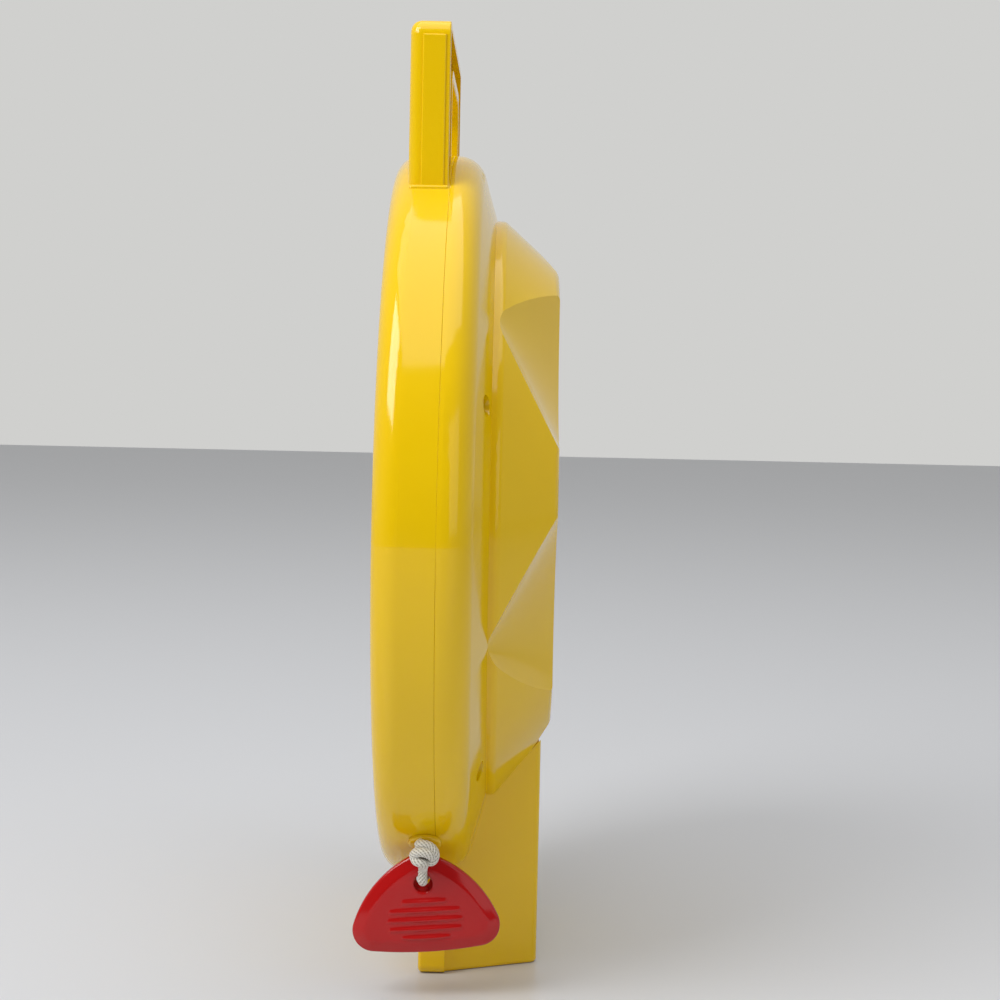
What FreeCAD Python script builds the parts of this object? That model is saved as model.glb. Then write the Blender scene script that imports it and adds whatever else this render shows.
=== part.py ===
import FreeCAD, Part
import math
import os

# A pull-string animal sound spinner: a round moulded case that stands on a foot, with a carrying
# handle, a picture dial and pointer in front and a fluted sound dome behind.
# Millimetres. +Z is up, the dial faces -Y, the dome faces +Y and the string comes out on the +X side.
# The origin is the middle of the foot's base, on the parting plane between the two shells.

# Case: the round body
DISC_RADIUS = 115.0
FOOT_DROP = 23.5
DISC_Z = DISC_RADIUS + FOOT_DROP
WALL = 2.5
FRONT_DEPTH = 18.0
FRONT_ROUND = 7.5
SEAM_BREAK = 0.12
BEZEL_WIDTH = 17.5
BEZEL_RADIUS = DISC_RADIUS - BEZEL_WIDTH
DIAL_SLOPE_WIDTH = 6.5
DIAL_RADIUS = BEZEL_RADIUS - DIAL_SLOPE_WIDTH
DIAL_DEPTH = 11.6
BEZEL_ROUND = 1.6
LIP_LENGTH = 2.2
LIP_WALL = 1.5

# Case: the back, a shallow cone that carries the dome
BACK_RIM_Y = 8.0
BACK_ROUND = 9.0
BACK_CONE_WIDTH = 30.0
BACK_CONE_RADIUS = DISC_RADIUS - BACK_CONE_WIDTH
BACK_CONE_Y = 16.6

# Sound dome, with six scooped flutes
DOME_LIFT = 4.0
DOME_SKIRT_LIFT = 1.0
DOME_TOP_Y = 33.7
DOME_SKIRT_Y = 16.4
DOME_INSET = 21.2
DOME_SIDE_WIDTH = 18.3
DOME_SKIRT_RADIUS = DISC_RADIUS - DOME_INSET
DOME_TOP_RADIUS = DOME_SKIRT_RADIUS - DOME_SIDE_WIDTH
DOME_ROUND = 4.0
DOME_SKIRT_ROUND = 2.5
DOME_SKIRT_DEPTH = 6.0
FLUTES = 6
FLUTE_TURN = 38.9
FLUTE_AXIS_OFFSET = 3.2
FLUTE_AXIS_RADIUS = DOME_SKIRT_RADIUS + FLUTE_AXIS_OFFSET
FLUTE_TIP_Y = 13.0
FLUTE_TOP_RADIUS = 40.0
GRILLE_RINGS = 5
GRILLE_FIRST = 9.0
GRILLE_STEP = 8.0
GRILLE_SLOT = 2.6
GRILLE_SPOKES = 6
GRILLE_SPOKE = 6.0

# Carrying handle
HANDLE_HALF_WIDTH = 54.7
HANDLE_RISE = 35.0
HANDLE_TOP = DISC_RADIUS + HANDLE_RISE
HANDLE_FRONT = 12.5
HANDLE_BACK = 0.5
HANDLE_BAR = 13.7
HANDLE_LIMB = 19.7
HANDLE_CORNER = 4.4
HANDLE_EDGE = 3.2
HANDLE_BACK_EDGE = 0.5
HANDLE_WALL = 2.4
HANDLE_RIB = 1.6
HANDLE_RIB_DROP = 2.5
GRIP_CORNER = 8.0
PANEL_PROUD = 0.5
PANEL_FRONT = 8.7
PANEL_BACK = 1.8
PANEL_TOP_DROP = 4.4

# Foot
FOOT_HALF_WIDTH = 48.0
FOOT_FRONT = 5.6
FOOT_STEP_Y = 2.6
FOOT_SHOULDER = 45.5
FOOT_BACK_Y = 31.0
FOOT_BACK_HALF_WIDTH = 33.6
FOOT_CORNER = 3.0
FOOT_BACK_CORNER = 2.5
FOOT_EDGE = 1.2
FOOT_TUCK = 51.0
FOOT_BOARD_TUCK = 26.0

# Case screws, in recesses on the back
CASE_SCREW_INSET = 16.0
CASE_SCREW_RADIUS = DISC_RADIUS - CASE_SCREW_INSET
CASE_SCREW_FIRST = -45.0
CASE_SCREW_STEP = 67.5
CASE_SCREWS = 5
CASE_SCREW_SEAT_Y = 6.5
RECESS_RADIUS = 3.1
HEAD_CLEARANCE = 0.3
HEAD_HEIGHT = 2.2
SHANK_RADIUS = 1.5
CASE_SHANK = 12.0
BOSS_WALL = 2.3

# Pointer dial
CARD_THICKNESS = 0.6
CARD_MARGIN = 1.0
SHAFT_RADIUS = 4.0
RUNNING_FIT = 0.05
GAP = 0.3
POINTER_THICKNESS = 3.0
POINTER_HUB = 21.0
POINTER_TIP = 64.0
POINTER_BARB = 15.0
POINTER_BARB_BACK = 44.0
POINTER_NECK = 6.0
POINTER_RIDGE = 1.3
CAP_RADIUS = 8.0
CAP_HEIGHT = 1.9
WHEEL_RADIUS = 15.0
WHEEL_THICKNESS = 2.0
NOTCHES = 12
NOTCH_RADIUS = 1.6
CLIP_THICKNESS = 0.6
CLIP_RADIUS = 7.0
GROOVE_DEPTH = 0.6
SHAFT_END = 0.2
LEAF_THICKNESS = 0.5
LEAF_LENGTH = 24.0
LEAF_SCREW_RADIUS = 1.2

# Motor stack on the disc's axis, placed along Y
SPOOL_Y = -3.2
SPOOL_DRUM = 9.0
SPOOL_FLANGE = 20.5
SPOOL_WEB = 0.7
WINDING_RADIUS = 18.0
WINDING_WIDTH = 3.4
SPINDLE_RADIUS = 2.5
CUP_FRONT_Y = 0.2
CUP_RADIUS = 24.0
CUP_WALL = 1.5
SPRING_STRIP = 0.4
SPRING_PITCH = 1.8
SPRING_INNER = 2.8
SPRING_TURNS = 9
SPRING_MARGIN = 0.6
PLATE_FRONT_Y = 6.0
PLATE_THICKNESS = 2.0
PLATE_RADIUS = 70.0
PLATE_SCREW_RADIUS = 62.0
PLATE_SCREWS = 4
PLATE_SHANK = 1.3
PLATE_SHANK_LENGTH = 10.0
BUSH_RADIUS = 5.0
BUSH_FLANGE = 7.0
BUSH_FLANGE_THICKNESS = 1.0
TABLE_THICKNESS = 4.0
TABLE_RADIUS = 42.0
TABLE_GROOVE = 1.8
BELT = 1.6
RECORD_RADIUS = 38.0
RECORD_THICKNESS = 1.6
RECORD_GROOVES = 9
RECORD_GROOVE_STEP = 2.4
RECORD_CLIP_RADIUS = 5.5
RECORD_CLIP_HEIGHT = 1.0

# Speed governor
GOVERNOR_RADIUS = 62.0
GOVERNOR_TURN = 128.9
PULLEY_RADIUS = 6.5
PULLEY_GROOVE = 5.0
GOVERNOR_SHAFT = 1.25
WEIGHT_OUTER = 10.8
WEIGHT_INNER = 6.0
WEIGHT_HEIGHT = 3.6
WEIGHTS = 3
GOVERNOR_CUP = 13.5
GOVERNOR_CUP_WALL = 1.5

# Tone arm
ARM_PIVOT_RADIUS = 60.0
ARM_TURN = 205.0
ARM_LENGTH = 50.0
ARM_REST_DEGREES = 14.4
ARM_PIN_RADIUS = 2.0
ARM_SHOULDER = 3.0
ARM_HUB = 4.6
ARM_WIDTH = 6.0
ARM_THICKNESS = 1.8
ARM_SPRING_WIRE = 0.5
ARM_SPRING_TURNS = 4
STYLUS_RADIUS = 0.5

# Sound cone, held behind the grille
CONE_APEX_Y = 20.2
CONE_APEX_RADIUS = 6.0
CONE_RADIUS = 46.0
CONE_WALL = 0.6
FRAME_RADIUS = 53.0
FRAME_INNER = 44.0
FRAME_THICKNESS = 1.6
FRAME_SCREW_RADIUS = 49.5
FRAME_SCREWS = 3
FRAME_SHANK = 1.1
BAR_REACH = 30.0
BAR_WIDTH = 8.0
BAR_THICKNESS = 0.9

# Pull string, its bushing and the tab
STRING_RADIUS = 1.4
EXIT_TURN = -52.5
BUSHING_FLANGE = 4.9
BUSHING_THICKNESS = 1.4
BUSHING_ROUND = 0.7
BUSHING_BARREL = 2.8
BUSHING_LENGTH = 7.0
BUSHING_BORE = 1.75
STRING_STRAIGHT = 14.0
STRING_BEND = 40.0
STRING_MOUTH_BEND = 1.5
TAB_THICKNESS = 5.0
TAB_RIM_THICKNESS = 2.6
TAB_BEVEL = 3.0
TAB_RIM_ROUND = 0.6
TAB_HOLE_RADIUS = 2.7
TAB_FROM_MOUTH = FreeCAD.Vector(-0.3, -0.3, -10.95)
TAB_TILT = 4.5
TAB_APEX_RISE = 8.6
TAB_HEIGHT = 29.4
TAB_HALF_WIDTH = 21.8
TAB_APEX_RADIUS = 8.6
TAB_SIDE_RADIUS = 34.0
TAB_CORNER_RADIUS = 6.4
TAB_BASE_RADIUS = 128.0
RIBS = 5
RIB_FIRST = 5.4
RIB_STEP = 2.7
RIB_RADIUS = 0.55
RIB_HALF_LENGTHS = (6.6, 10.6, 11.2, 10.8, 7.2)
KNOT_FROM_MOUTH = FreeCAD.Vector(6.0, 0.4, -0.75)
KNOT_RADIUS = 3.4
KNOT_LOBE_RADIUS = 2.5
END_KNOT_RADIUS = 2.6

# Heights and depths that follow from the sizes above
TAU = 360.0
DOME_Z = DISC_Z + DOME_LIFT
FLOOR_BACK_Y = -DIAL_DEPTH + WALL
CARD_FRONT_Y = -DIAL_DEPTH - CARD_THICKNESS
POINTER_BACK_Y = CARD_FRONT_Y - GAP
POINTER_FRONT_Y = POINTER_BACK_Y - POINTER_THICKNESS
WHEEL_FRONT_Y = FLOOR_BACK_Y + GAP
WHEEL_BACK_Y = WHEEL_FRONT_Y + WHEEL_THICKNESS
SHAFT_BACK_Y = WHEEL_BACK_Y + CLIP_THICKNESS + SHAFT_END
PLATE_BACK_Y = PLATE_FRONT_Y + PLATE_THICKNESS
TABLE_FRONT_Y = PLATE_BACK_Y + BUSH_FLANGE_THICKNESS + GAP
TABLE_BACK_Y = TABLE_FRONT_Y + TABLE_THICKNESS
RECORD_BACK_Y = TABLE_BACK_Y + RECORD_THICKNESS
BELT_Y = (TABLE_FRONT_Y + TABLE_BACK_Y) / 2
RECORD_CLIP_BACK_Y = RECORD_BACK_Y + RECORD_CLIP_HEIGHT
ARM_FRONT_Y = RECORD_CLIP_BACK_Y + 2 * GAP
ARM_BACK_Y = ARM_FRONT_Y + ARM_THICKNESS
SPOOL_FRONT_Y = SPOOL_Y - WINDING_WIDTH / 2 - SPOOL_WEB
SPOOL_BACK_Y = SPOOL_Y + WINDING_WIDTH / 2 + SPOOL_WEB
FRAME_BACK_Y = DOME_TOP_Y - WALL
FRAME_FRONT_Y = FRAME_BACK_Y - FRAME_THICKNESS
TAB_PIVOT_RISE = TAB_HOLE_RADIUS - STRING_RADIUS - RUNNING_FIT

DEPTH = FreeCAD.Vector(0, 1, 0)


def vec(x, y, z):
    return FreeCAD.Vector(x, y, z)


def in_xz(y):
    """Drawing plane that faces the dial: u is X and v is Z, at depth y."""
    return lambda u, v: vec(u, y, v)


def in_radius(z):
    """Drawing plane of a turned section: u is the radius and v the depth, about the axis at height z."""
    return lambda u, v: vec(u, v, z)


def in_plan(z):
    """Drawing plane seen from above: u is X and v is Y, at height z."""
    return lambda u, v: vec(u, v, z)


def outline(corners, place):
    """Closed face through the corners (u, v, radius), each corner rounded by its own radius."""
    count = len(corners)
    starts = []
    ends = []
    arcs = []
    for i, (u, v, radius) in enumerate(corners):
        here = vec(u, v, 0)
        back = (vec(*corners[i - 1][:2], 0) - here).normalize()
        ahead = (vec(*corners[(i + 1) % count][:2], 0) - here).normalize()
        if radius == 0:
            starts.append(here)
            ends.append(here)
            arcs.append(None)
            continue
        half = back.getAngle(ahead) / 2
        run = radius / math.tan(half)
        middle = here + (back + ahead).normalize() * (radius / math.sin(half) - radius)
        starts.append(here + back * run)
        ends.append(here + ahead * run)
        arcs.append(middle)
    edges = []
    for i in range(count):
        if arcs[i] is not None:
            points = [place(p.x, p.y) for p in (starts[i], arcs[i], ends[i])]
            edges.append(Part.Arc(*points).toShape())
        leave = ends[i]
        arrive = starts[(i + 1) % count]
        if (arrive - leave).Length > 1e-6:
            edges.append(Part.makeLine(place(leave.x, leave.y), place(arrive.x, arrive.y)))
    return Part.Face(Part.Wire(edges))


def turned(corners, centre_z=DISC_Z):
    """Solid of revolution about the depth axis, from corners (radius, depth, rounding)."""
    return outline(corners, in_radius(centre_z)).revolve(vec(0, 0, centre_z), DEPTH, TAU)


def slab(corners, front_y, back_y):
    """Plate cut to an outline of (x, z, rounding) that spans the depth from front_y to back_y."""
    return outline(corners, in_xz(front_y)).extrude(vec(0, back_y - front_y, 0))


def disc(radius, front_y, back_y, x=0.0, z=DISC_Z):
    return Part.makeCylinder(radius, back_y - front_y, vec(x, front_y, z), DEPTH)


def ring(outer, inner, front_y, back_y, x=0.0, z=DISC_Z):
    return disc(outer, front_y, back_y, x, z).cut(disc(inner, front_y, back_y, x, z))


def polar(radius, degrees, centre_z=DISC_Z):
    """X and Z of a point round the depth axis, counted from +X towards +Z."""
    turn = math.radians(degrees)
    return radius * math.cos(turn), centre_z + radius * math.sin(turn)


def spun(shape, degrees, centre_z=DISC_Z):
    """Copy turned round the depth axis, from +X towards +Z."""
    copy = shape.copy()
    copy.rotate(vec(0, 0, centre_z), -DEPTH, degrees)
    return copy


def fused(shapes):
    return shapes[0].multiFuse(shapes[1:]).removeSplitter()


def group(shapes):
    return Part.makeCompound(shapes)


def front_disc():
    """Front half of the round body: bezel, sloping dial wall, dial floor and rim, one even wall."""
    front = -FRONT_DEPTH
    lean = math.atan2(FRONT_DEPTH - DIAL_DEPTH, BEZEL_RADIUS - DIAL_RADIUS)
    shift = WALL * math.tan(lean / 2)
    return turned([
        (0, -DIAL_DEPTH, 0),
        (DIAL_RADIUS, -DIAL_DEPTH, 1.0),
        (BEZEL_RADIUS, front, BEZEL_ROUND),
        (DISC_RADIUS, front, FRONT_ROUND),
        (DISC_RADIUS, 0, SEAM_BREAK),
        (DISC_RADIUS - WALL, 0, 0),
        (DISC_RADIUS - WALL, front + WALL, FRONT_ROUND - WALL),
        (BEZEL_RADIUS + shift, front + WALL, 0),
        (DIAL_RADIUS + shift, FLOOR_BACK_Y, 0),
        (0, FLOOR_BACK_Y, 0),
    ])


def seam_lip():
    """Thin tongue inside the front rim that the back shell slips over."""
    outer = DISC_RADIUS - WALL
    return turned([
        (outer, -LIP_LENGTH, 0),
        (outer, 0, 0),
        (outer - GAP, 0, 0),
        (outer - GAP, LIP_LENGTH, 0),
        (outer - GAP - LIP_WALL, LIP_LENGTH, 0),
        (outer - GAP - LIP_WALL, -LIP_LENGTH, 0),
    ])


def rim_edges(shape, y, above_z):
    """Edges of a plate that lie wholly in the plane at depth y and rise above a height."""
    found = []
    for edge in shape.Edges:
        box = edge.BoundBox
        flat = abs(box.YMin - y) < 1e-4 and abs(box.YMax - y) < 1e-4
        if flat and box.ZMax > above_z + 1e-3:
            found.append(edge)
    return found


def handle_loop(inset, front_y, back_y):
    """Flat loop in the handle's outline, drawn in by inset from its outer and inner edges."""
    half = HANDLE_HALF_WIDTH - inset
    grip = HANDLE_HALF_WIDTH - HANDLE_LIMB + inset
    root_z = DISC_Z + math.sqrt(DISC_RADIUS ** 2 - HANDLE_HALF_WIDTH ** 2) - 10
    top_z = DISC_Z + HANDLE_TOP - inset
    bar_z = DISC_Z + HANDLE_TOP - HANDLE_BAR + inset
    outer = slab([
        (-half, root_z, 0),
        (half, root_z, 0),
        (half, top_z, HANDLE_CORNER - inset),
        (-half, top_z, HANDLE_CORNER - inset),
    ], front_y, back_y)
    hole = slab([
        (-grip, root_z - 1, 0),
        (grip, root_z - 1, 0),
        (grip, bar_z, GRIP_CORNER + inset),
        (-grip, bar_z, GRIP_CORNER + inset),
    ], front_y, back_y)
    return outer.cut(hole), root_z


def handle_ribs():
    """Cross walls in the handle's channel, two in each limb and three in the bar."""
    front = -HANDLE_FRONT + WALL / 2
    depth = HANDLE_FRONT - WALL / 2 - HANDLE_RIB_DROP
    limb_x = HANDLE_HALF_WIDTH - HANDLE_LIMB + HANDLE_WALL / 2
    top_z = DISC_Z + HANDLE_TOP
    ribs = []
    for side in (-1, 1):
        for drop in (0.38, 0.66):
            z = top_z - drop * (HANDLE_TOP - DISC_RADIUS * 0.88)
            start = limb_x if side > 0 else -limb_x - HANDLE_LIMB + HANDLE_WALL
            ribs.append(Part.makeBox(HANDLE_LIMB - HANDLE_WALL, depth, HANDLE_RIB, vec(start, front, z)))
    for x in (-22, 0, 22):
        start = vec(x - HANDLE_RIB / 2, front, top_z - HANDLE_BAR + HANDLE_WALL / 2)
        ribs.append(Part.makeBox(HANDLE_RIB, depth, HANDLE_BAR - HANDLE_WALL, start))
    return ribs


def handle():
    """Loop handle, rounded in front, cored from behind, with a proud panel on each outer side."""
    loop, root_z = handle_loop(0, -HANDLE_FRONT, -HANDLE_BACK)
    loop = loop.makeFillet(HANDLE_EDGE, rim_edges(loop, -HANDLE_FRONT, root_z))
    loop = loop.makeFillet(HANDLE_BACK_EDGE, rim_edges(loop, -HANDLE_BACK, root_z))
    panel_top = DISC_Z + HANDLE_TOP - PANEL_TOP_DROP
    panels = []
    for side in (-1, 1):
        panel = Part.makeBox(
            PANEL_PROUD + 1, PANEL_FRONT - PANEL_BACK, panel_top - root_z,
            vec(HANDLE_HALF_WIDTH - 1, -PANEL_FRONT, root_z))
        edges = [edge for edge in panel.Edges if edge.BoundBox.XMin > HANDLE_HALF_WIDTH]
        panel = panel.makeFillet(PANEL_PROUD * 0.8, edges)
        if side < 0:
            panel = panel.mirror(vec(0, 0, 0), vec(1, 0, 0))
        panels.append(panel)
    loop = fused([loop] + panels)
    channel = handle_loop(HANDLE_WALL, -HANDLE_FRONT + WALL, 0)[0]
    channel = channel.cut(disc(DISC_RADIUS, -HANDLE_FRONT, 0))
    loop = fused([loop.cut(channel)] + handle_ribs())
    return loop.cut(disc(DISC_RADIUS - WALL, -FRONT_DEPTH, 0))


def flute_cones(extra=0.0):
    """Cones that scoop the dome; extra widens them square to their sides, for the inner face."""
    rise = DOME_TOP_Y - FLUTE_TIP_Y
    slope = math.atan2(FLUTE_TOP_RADIUS, rise)
    tip_y = FLUTE_TIP_Y - extra / math.sin(slope)
    end_y = DOME_TOP_Y + 1
    radius = (end_y - tip_y) * math.tan(slope)
    cone = Part.makeCone(0, radius, end_y - tip_y, vec(FLUTE_AXIS_RADIUS, tip_y, DOME_Z), DEPTH)
    step = TAU / FLUTES
    return [spun(cone, FLUTE_TURN + step * i, DOME_Z) for i in range(FLUTES)]


def round_edges(solid, radius, depth):
    """Solid with its edges in the plane at that depth rounded."""
    return solid.makeFillet(radius, rim_edges(solid, depth, 0)) if radius > 0 else solid


def dome_frustum(inset=0.0):
    """Sound dome without its flutes: a rounded skirt under a leaning side whose axis climbs to the
    lifted top. It is drawn in by inset, or grown where inset is negative."""
    rise = DOME_TOP_Y - DOME_SKIRT_Y
    lean = DOME_SIDE_WIDTH / rise
    climb = (DOME_LIFT - DOME_SKIRT_LIFT) / rise
    side_inset = inset * math.sqrt(1 + lean ** 2)
    top_y = DOME_TOP_Y - inset
    skirt_z = DISC_Z + DOME_SKIRT_LIFT
    skirt_radius = DOME_SKIRT_RADIUS - side_inset
    top_z = skirt_z + climb * (top_y - DOME_SKIRT_Y)
    top_radius = skirt_radius - lean * (top_y - DOME_SKIRT_Y)
    rings = []
    for radius, y, z in ((skirt_radius, DOME_SKIRT_Y, skirt_z), (top_radius, top_y, top_z)):
        rings.append(Part.Wire(Part.makeCircle(radius, vec(0, y, z), DEPTH)))
    side = Part.makeLoft(rings, True, True)
    skirt = disc(skirt_radius, DOME_SKIRT_Y - DOME_SKIRT_DEPTH, DOME_SKIRT_Y, 0, skirt_z)
    dome = round_edges(fused([side, skirt]), DOME_ROUND - inset, top_y)
    return round_edges(dome, DOME_SKIRT_ROUND - max(inset, 0), DOME_SKIRT_Y)


def dome_block(inset=0.0):
    """Sound dome as a solid with its scooped flutes, drawn in by inset for the cavity."""
    return dome_frustum(inset).cut(flute_cones(inset))


def back_disc(inset=0.0):
    """Back half of the round body as a solid, drawn in by inset for the cavity."""
    slope = (BACK_CONE_Y - BACK_RIM_Y) / (DISC_RADIUS - BACK_CONE_RADIUS)
    drop = inset * math.sqrt(1 + slope ** 2)
    rim_y = BACK_RIM_Y + slope * inset - drop
    corner = SEAM_BREAK if inset == 0 else 0
    return turned([
        (0, 0, 0),
        (DISC_RADIUS - inset, 0, corner),
        (DISC_RADIUS - inset, rim_y, BACK_ROUND - inset),
        (BACK_CONE_RADIUS, BACK_CONE_Y - drop, 0),
        (0, BACK_CONE_Y - drop, 0),
    ])


def foot_front(inset=0.0):
    """Front board of the foot, on both sides of the parting plane."""
    half = FOOT_HALF_WIDTH - inset
    corner = FOOT_CORNER - inset
    rise = FOOT_DROP + FOOT_BOARD_TUCK
    front_y = -FOOT_FRONT + inset
    board = slab([
        (-half, inset, corner),
        (half, inset, corner),
        (half, rise, 0),
        (-half, rise, 0),
    ], front_y, FOOT_STEP_Y - inset)
    return board if inset else board.makeFillet(FOOT_EDGE, rim_edges(board, front_y, 0))


def foot_back(inset=0.0):
    """Tapered rear block of the foot, up to the underside of the dome."""
    lap = 1 + 1.5 * inset
    front_y = FOOT_STEP_Y - lap
    corner = FOOT_BACK_CORNER if inset == 0 else 0
    back_y = FOOT_BACK_Y - inset
    taper = (FOOT_SHOULDER - FOOT_BACK_HALF_WIDTH) / (FOOT_BACK_Y - FOOT_STEP_Y)
    back_half = FOOT_BACK_HALF_WIDTH + taper * inset - inset
    front_half = FOOT_SHOULDER + taper * lap - inset
    rise = FOOT_DROP + FOOT_TUCK - inset
    block = outline([
        (-front_half, front_y, 0),
        (front_half, front_y, 0),
        (back_half, back_y, corner),
        (-back_half, back_y, corner),
    ], in_plan(inset)).extrude(vec(0, 0, rise))
    if not inset:
        base = [edge for edge in block.Edges if edge.BoundBox.ZMax < 1e-4 and edge.BoundBox.YMax > front_y + 1]
        block = block.makeFillet(FOOT_EDGE, base)
    return block.cut(dome_frustum(-inset))


def space_in_front():
    """Space in front of the parting plane, used to split a shape between the two shells."""
    size = 4 * DISC_RADIUS
    return Part.makeBox(size, size, size, vec(-size / 2, -size, -1))


def case_screw_places():
    return [polar(CASE_SCREW_RADIUS, CASE_SCREW_FIRST + CASE_SCREW_STEP * i) for i in range(CASE_SCREWS)]


def plate_screw_places():
    return [polar(PLATE_SCREW_RADIUS, TAU / PLATE_SCREWS * i) for i in range(PLATE_SCREWS)]


def frame_screw_places():
    first = FLUTE_TURN + TAU / FLUTES / 2
    return [polar(FRAME_SCREW_RADIUS, first + TAU / FRAME_SCREWS * i, DOME_Z) for i in range(FRAME_SCREWS)]


def bushing_hole():
    """Bore through the rim for the string bushing."""
    x, z = polar(DISC_RADIUS - BUSHING_LENGTH - 1, EXIT_TURN)
    away = vec(*_direction(EXIT_TURN))
    return Part.makeCylinder(BUSHING_BARREL, BUSHING_LENGTH + 2, vec(x, SPOOL_Y, z), away)


def _direction(degrees):
    turn = math.radians(degrees)
    return math.cos(turn), 0.0, math.sin(turn)


def front_shell():
    half_space = space_in_front()
    body = fused([front_disc(), seam_lip(), handle(), foot_front().common(half_space)])
    foot_room = foot_front(WALL).common(half_space)
    rim_room = disc(DISC_RADIUS - WALL - GAP - LIP_WALL, FLOOR_BACK_Y, 0)
    body = body.cut(foot_room.fuse(rim_room))
    additions = []
    for x, z in case_screw_places():
        additions.append(disc(SHANK_RADIUS + BOSS_WALL, -FRONT_DEPTH + WALL / 2, CASE_SCREW_SEAT_Y - WALL, x, z))
    for x, z in plate_screw_places():
        additions.append(disc(PLATE_SHANK + BOSS_WALL, FLOOR_BACK_Y - WALL / 2, PLATE_FRONT_Y, x, z))
    leaf_x, leaf_z = leaf_anchor()
    additions.append(disc(LEAF_SCREW_RADIUS + BOSS_WALL, FLOOR_BACK_Y - WALL / 2, WHEEL_FRONT_Y, leaf_x, leaf_z))
    body = fused([body] + additions)
    holes = [disc(SHAFT_RADIUS + RUNNING_FIT, -DIAL_DEPTH - 1, FLOOR_BACK_Y + 1), bushing_hole()]
    for x, z in case_screw_places():
        holes.append(disc(SHANK_RADIUS, CASE_SCREW_SEAT_Y - CASE_SHANK - 1, CASE_SCREW_SEAT_Y, x, z))
    for x, z in plate_screw_places():
        holes.append(disc(PLATE_SHANK, PLATE_BACK_Y - PLATE_SHANK_LENGTH - 1, PLATE_FRONT_Y, x, z))
    holes.append(disc(LEAF_SCREW_RADIUS, FLOOR_BACK_Y - WALL / 2, WHEEL_FRONT_Y, leaf_x, leaf_z))
    return body.cut(holes)


def grille_slots():
    """Curved slots through the dome's flat top, in rings crossed by plain spokes."""
    rings = []
    for i in range(GRILLE_RINGS):
        radius = GRILLE_FIRST + GRILLE_STEP * i
        half = GRILLE_SLOT / 2
        rings.append(ring(radius + half, radius - half, DOME_TOP_Y - 2 * WALL, DOME_TOP_Y + 1, 0, DOME_Z))
    reach = GRILLE_FIRST + GRILLE_STEP * GRILLE_RINGS
    spoke = Part.makeBox(
        reach, 4 * WALL, GRILLE_SPOKE, vec(0, DOME_TOP_Y - 3 * WALL, DOME_Z - GRILLE_SPOKE / 2))
    step = TAU / GRILLE_SPOKES
    spokes = [spun(spoke, FLUTE_TURN + step * i, DOME_Z) for i in range(GRILLE_SPOKES)]
    return rings[0].multiFuse(rings[1:]).cut(spokes)


def back_shell():
    half_space = space_in_front()
    body = fused([back_disc(), dome_block(), foot_front().cut(half_space), foot_back()])
    rooms = [back_disc(WALL), dome_block(WALL), foot_front(WALL).cut(half_space), foot_back(WALL)]
    body = body.cut(rooms[0].multiFuse(rooms[1:]))
    tubes = []
    wells = []
    for x, z in case_screw_places():
        seat = CASE_SCREW_SEAT_Y - WALL
        tubes.append(disc(RECESS_RADIUS + BOSS_WALL - 1, seat, BACK_RIM_Y + 2, x, z))
        wells.append(disc(RECESS_RADIUS, CASE_SCREW_SEAT_Y, DOME_TOP_Y, x, z))
        wells.append(disc(SHANK_RADIUS + GAP, seat - 1, CASE_SCREW_SEAT_Y, x, z))
    body = fused([body] + tubes)
    for x, z in frame_screw_places():
        wells.append(disc(FRAME_SHANK, FRAME_BACK_Y - 1, DOME_TOP_Y - 1, x, z))
    wells.append(bushing_hole())
    return body.cut([grille_slots()] + wells)


def case_screws():
    """Pan-head screws that pull the back shell onto the front shell's bosses."""
    screws = []
    for x, z in case_screw_places():
        head = disc(RECESS_RADIUS - HEAD_CLEARANCE, CASE_SCREW_SEAT_Y, CASE_SCREW_SEAT_Y + HEAD_HEIGHT, x, z)
        shank = disc(SHANK_RADIUS, CASE_SCREW_SEAT_Y - CASE_SHANK, CASE_SCREW_SEAT_Y, x, z)
        screws.append(cross_slotted(head.fuse(shank), CASE_SCREW_SEAT_Y + HEAD_HEIGHT, x, z).removeSplitter())
    return group(screws)


def cross_slotted(screw, top_y, x, z, reach=1.7, width=0.7, depth=1.1):
    """Screw with a cross recess cut into the head that faces +Y."""
    for long_x, long_z in ((reach, width / 2), (width / 2, reach)):
        slot = Part.makeBox(2 * long_x, depth, 2 * long_z, vec(x - long_x, top_y - depth, z - long_z))
        screw = screw.cut(slot)
    return screw


def picture_disc():
    """Printed card ring bonded to the dial floor."""
    return ring(DIAL_RADIUS - CARD_MARGIN, SHAFT_RADIUS + CARD_MARGIN, CARD_FRONT_Y, -DIAL_DEPTH)


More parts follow.
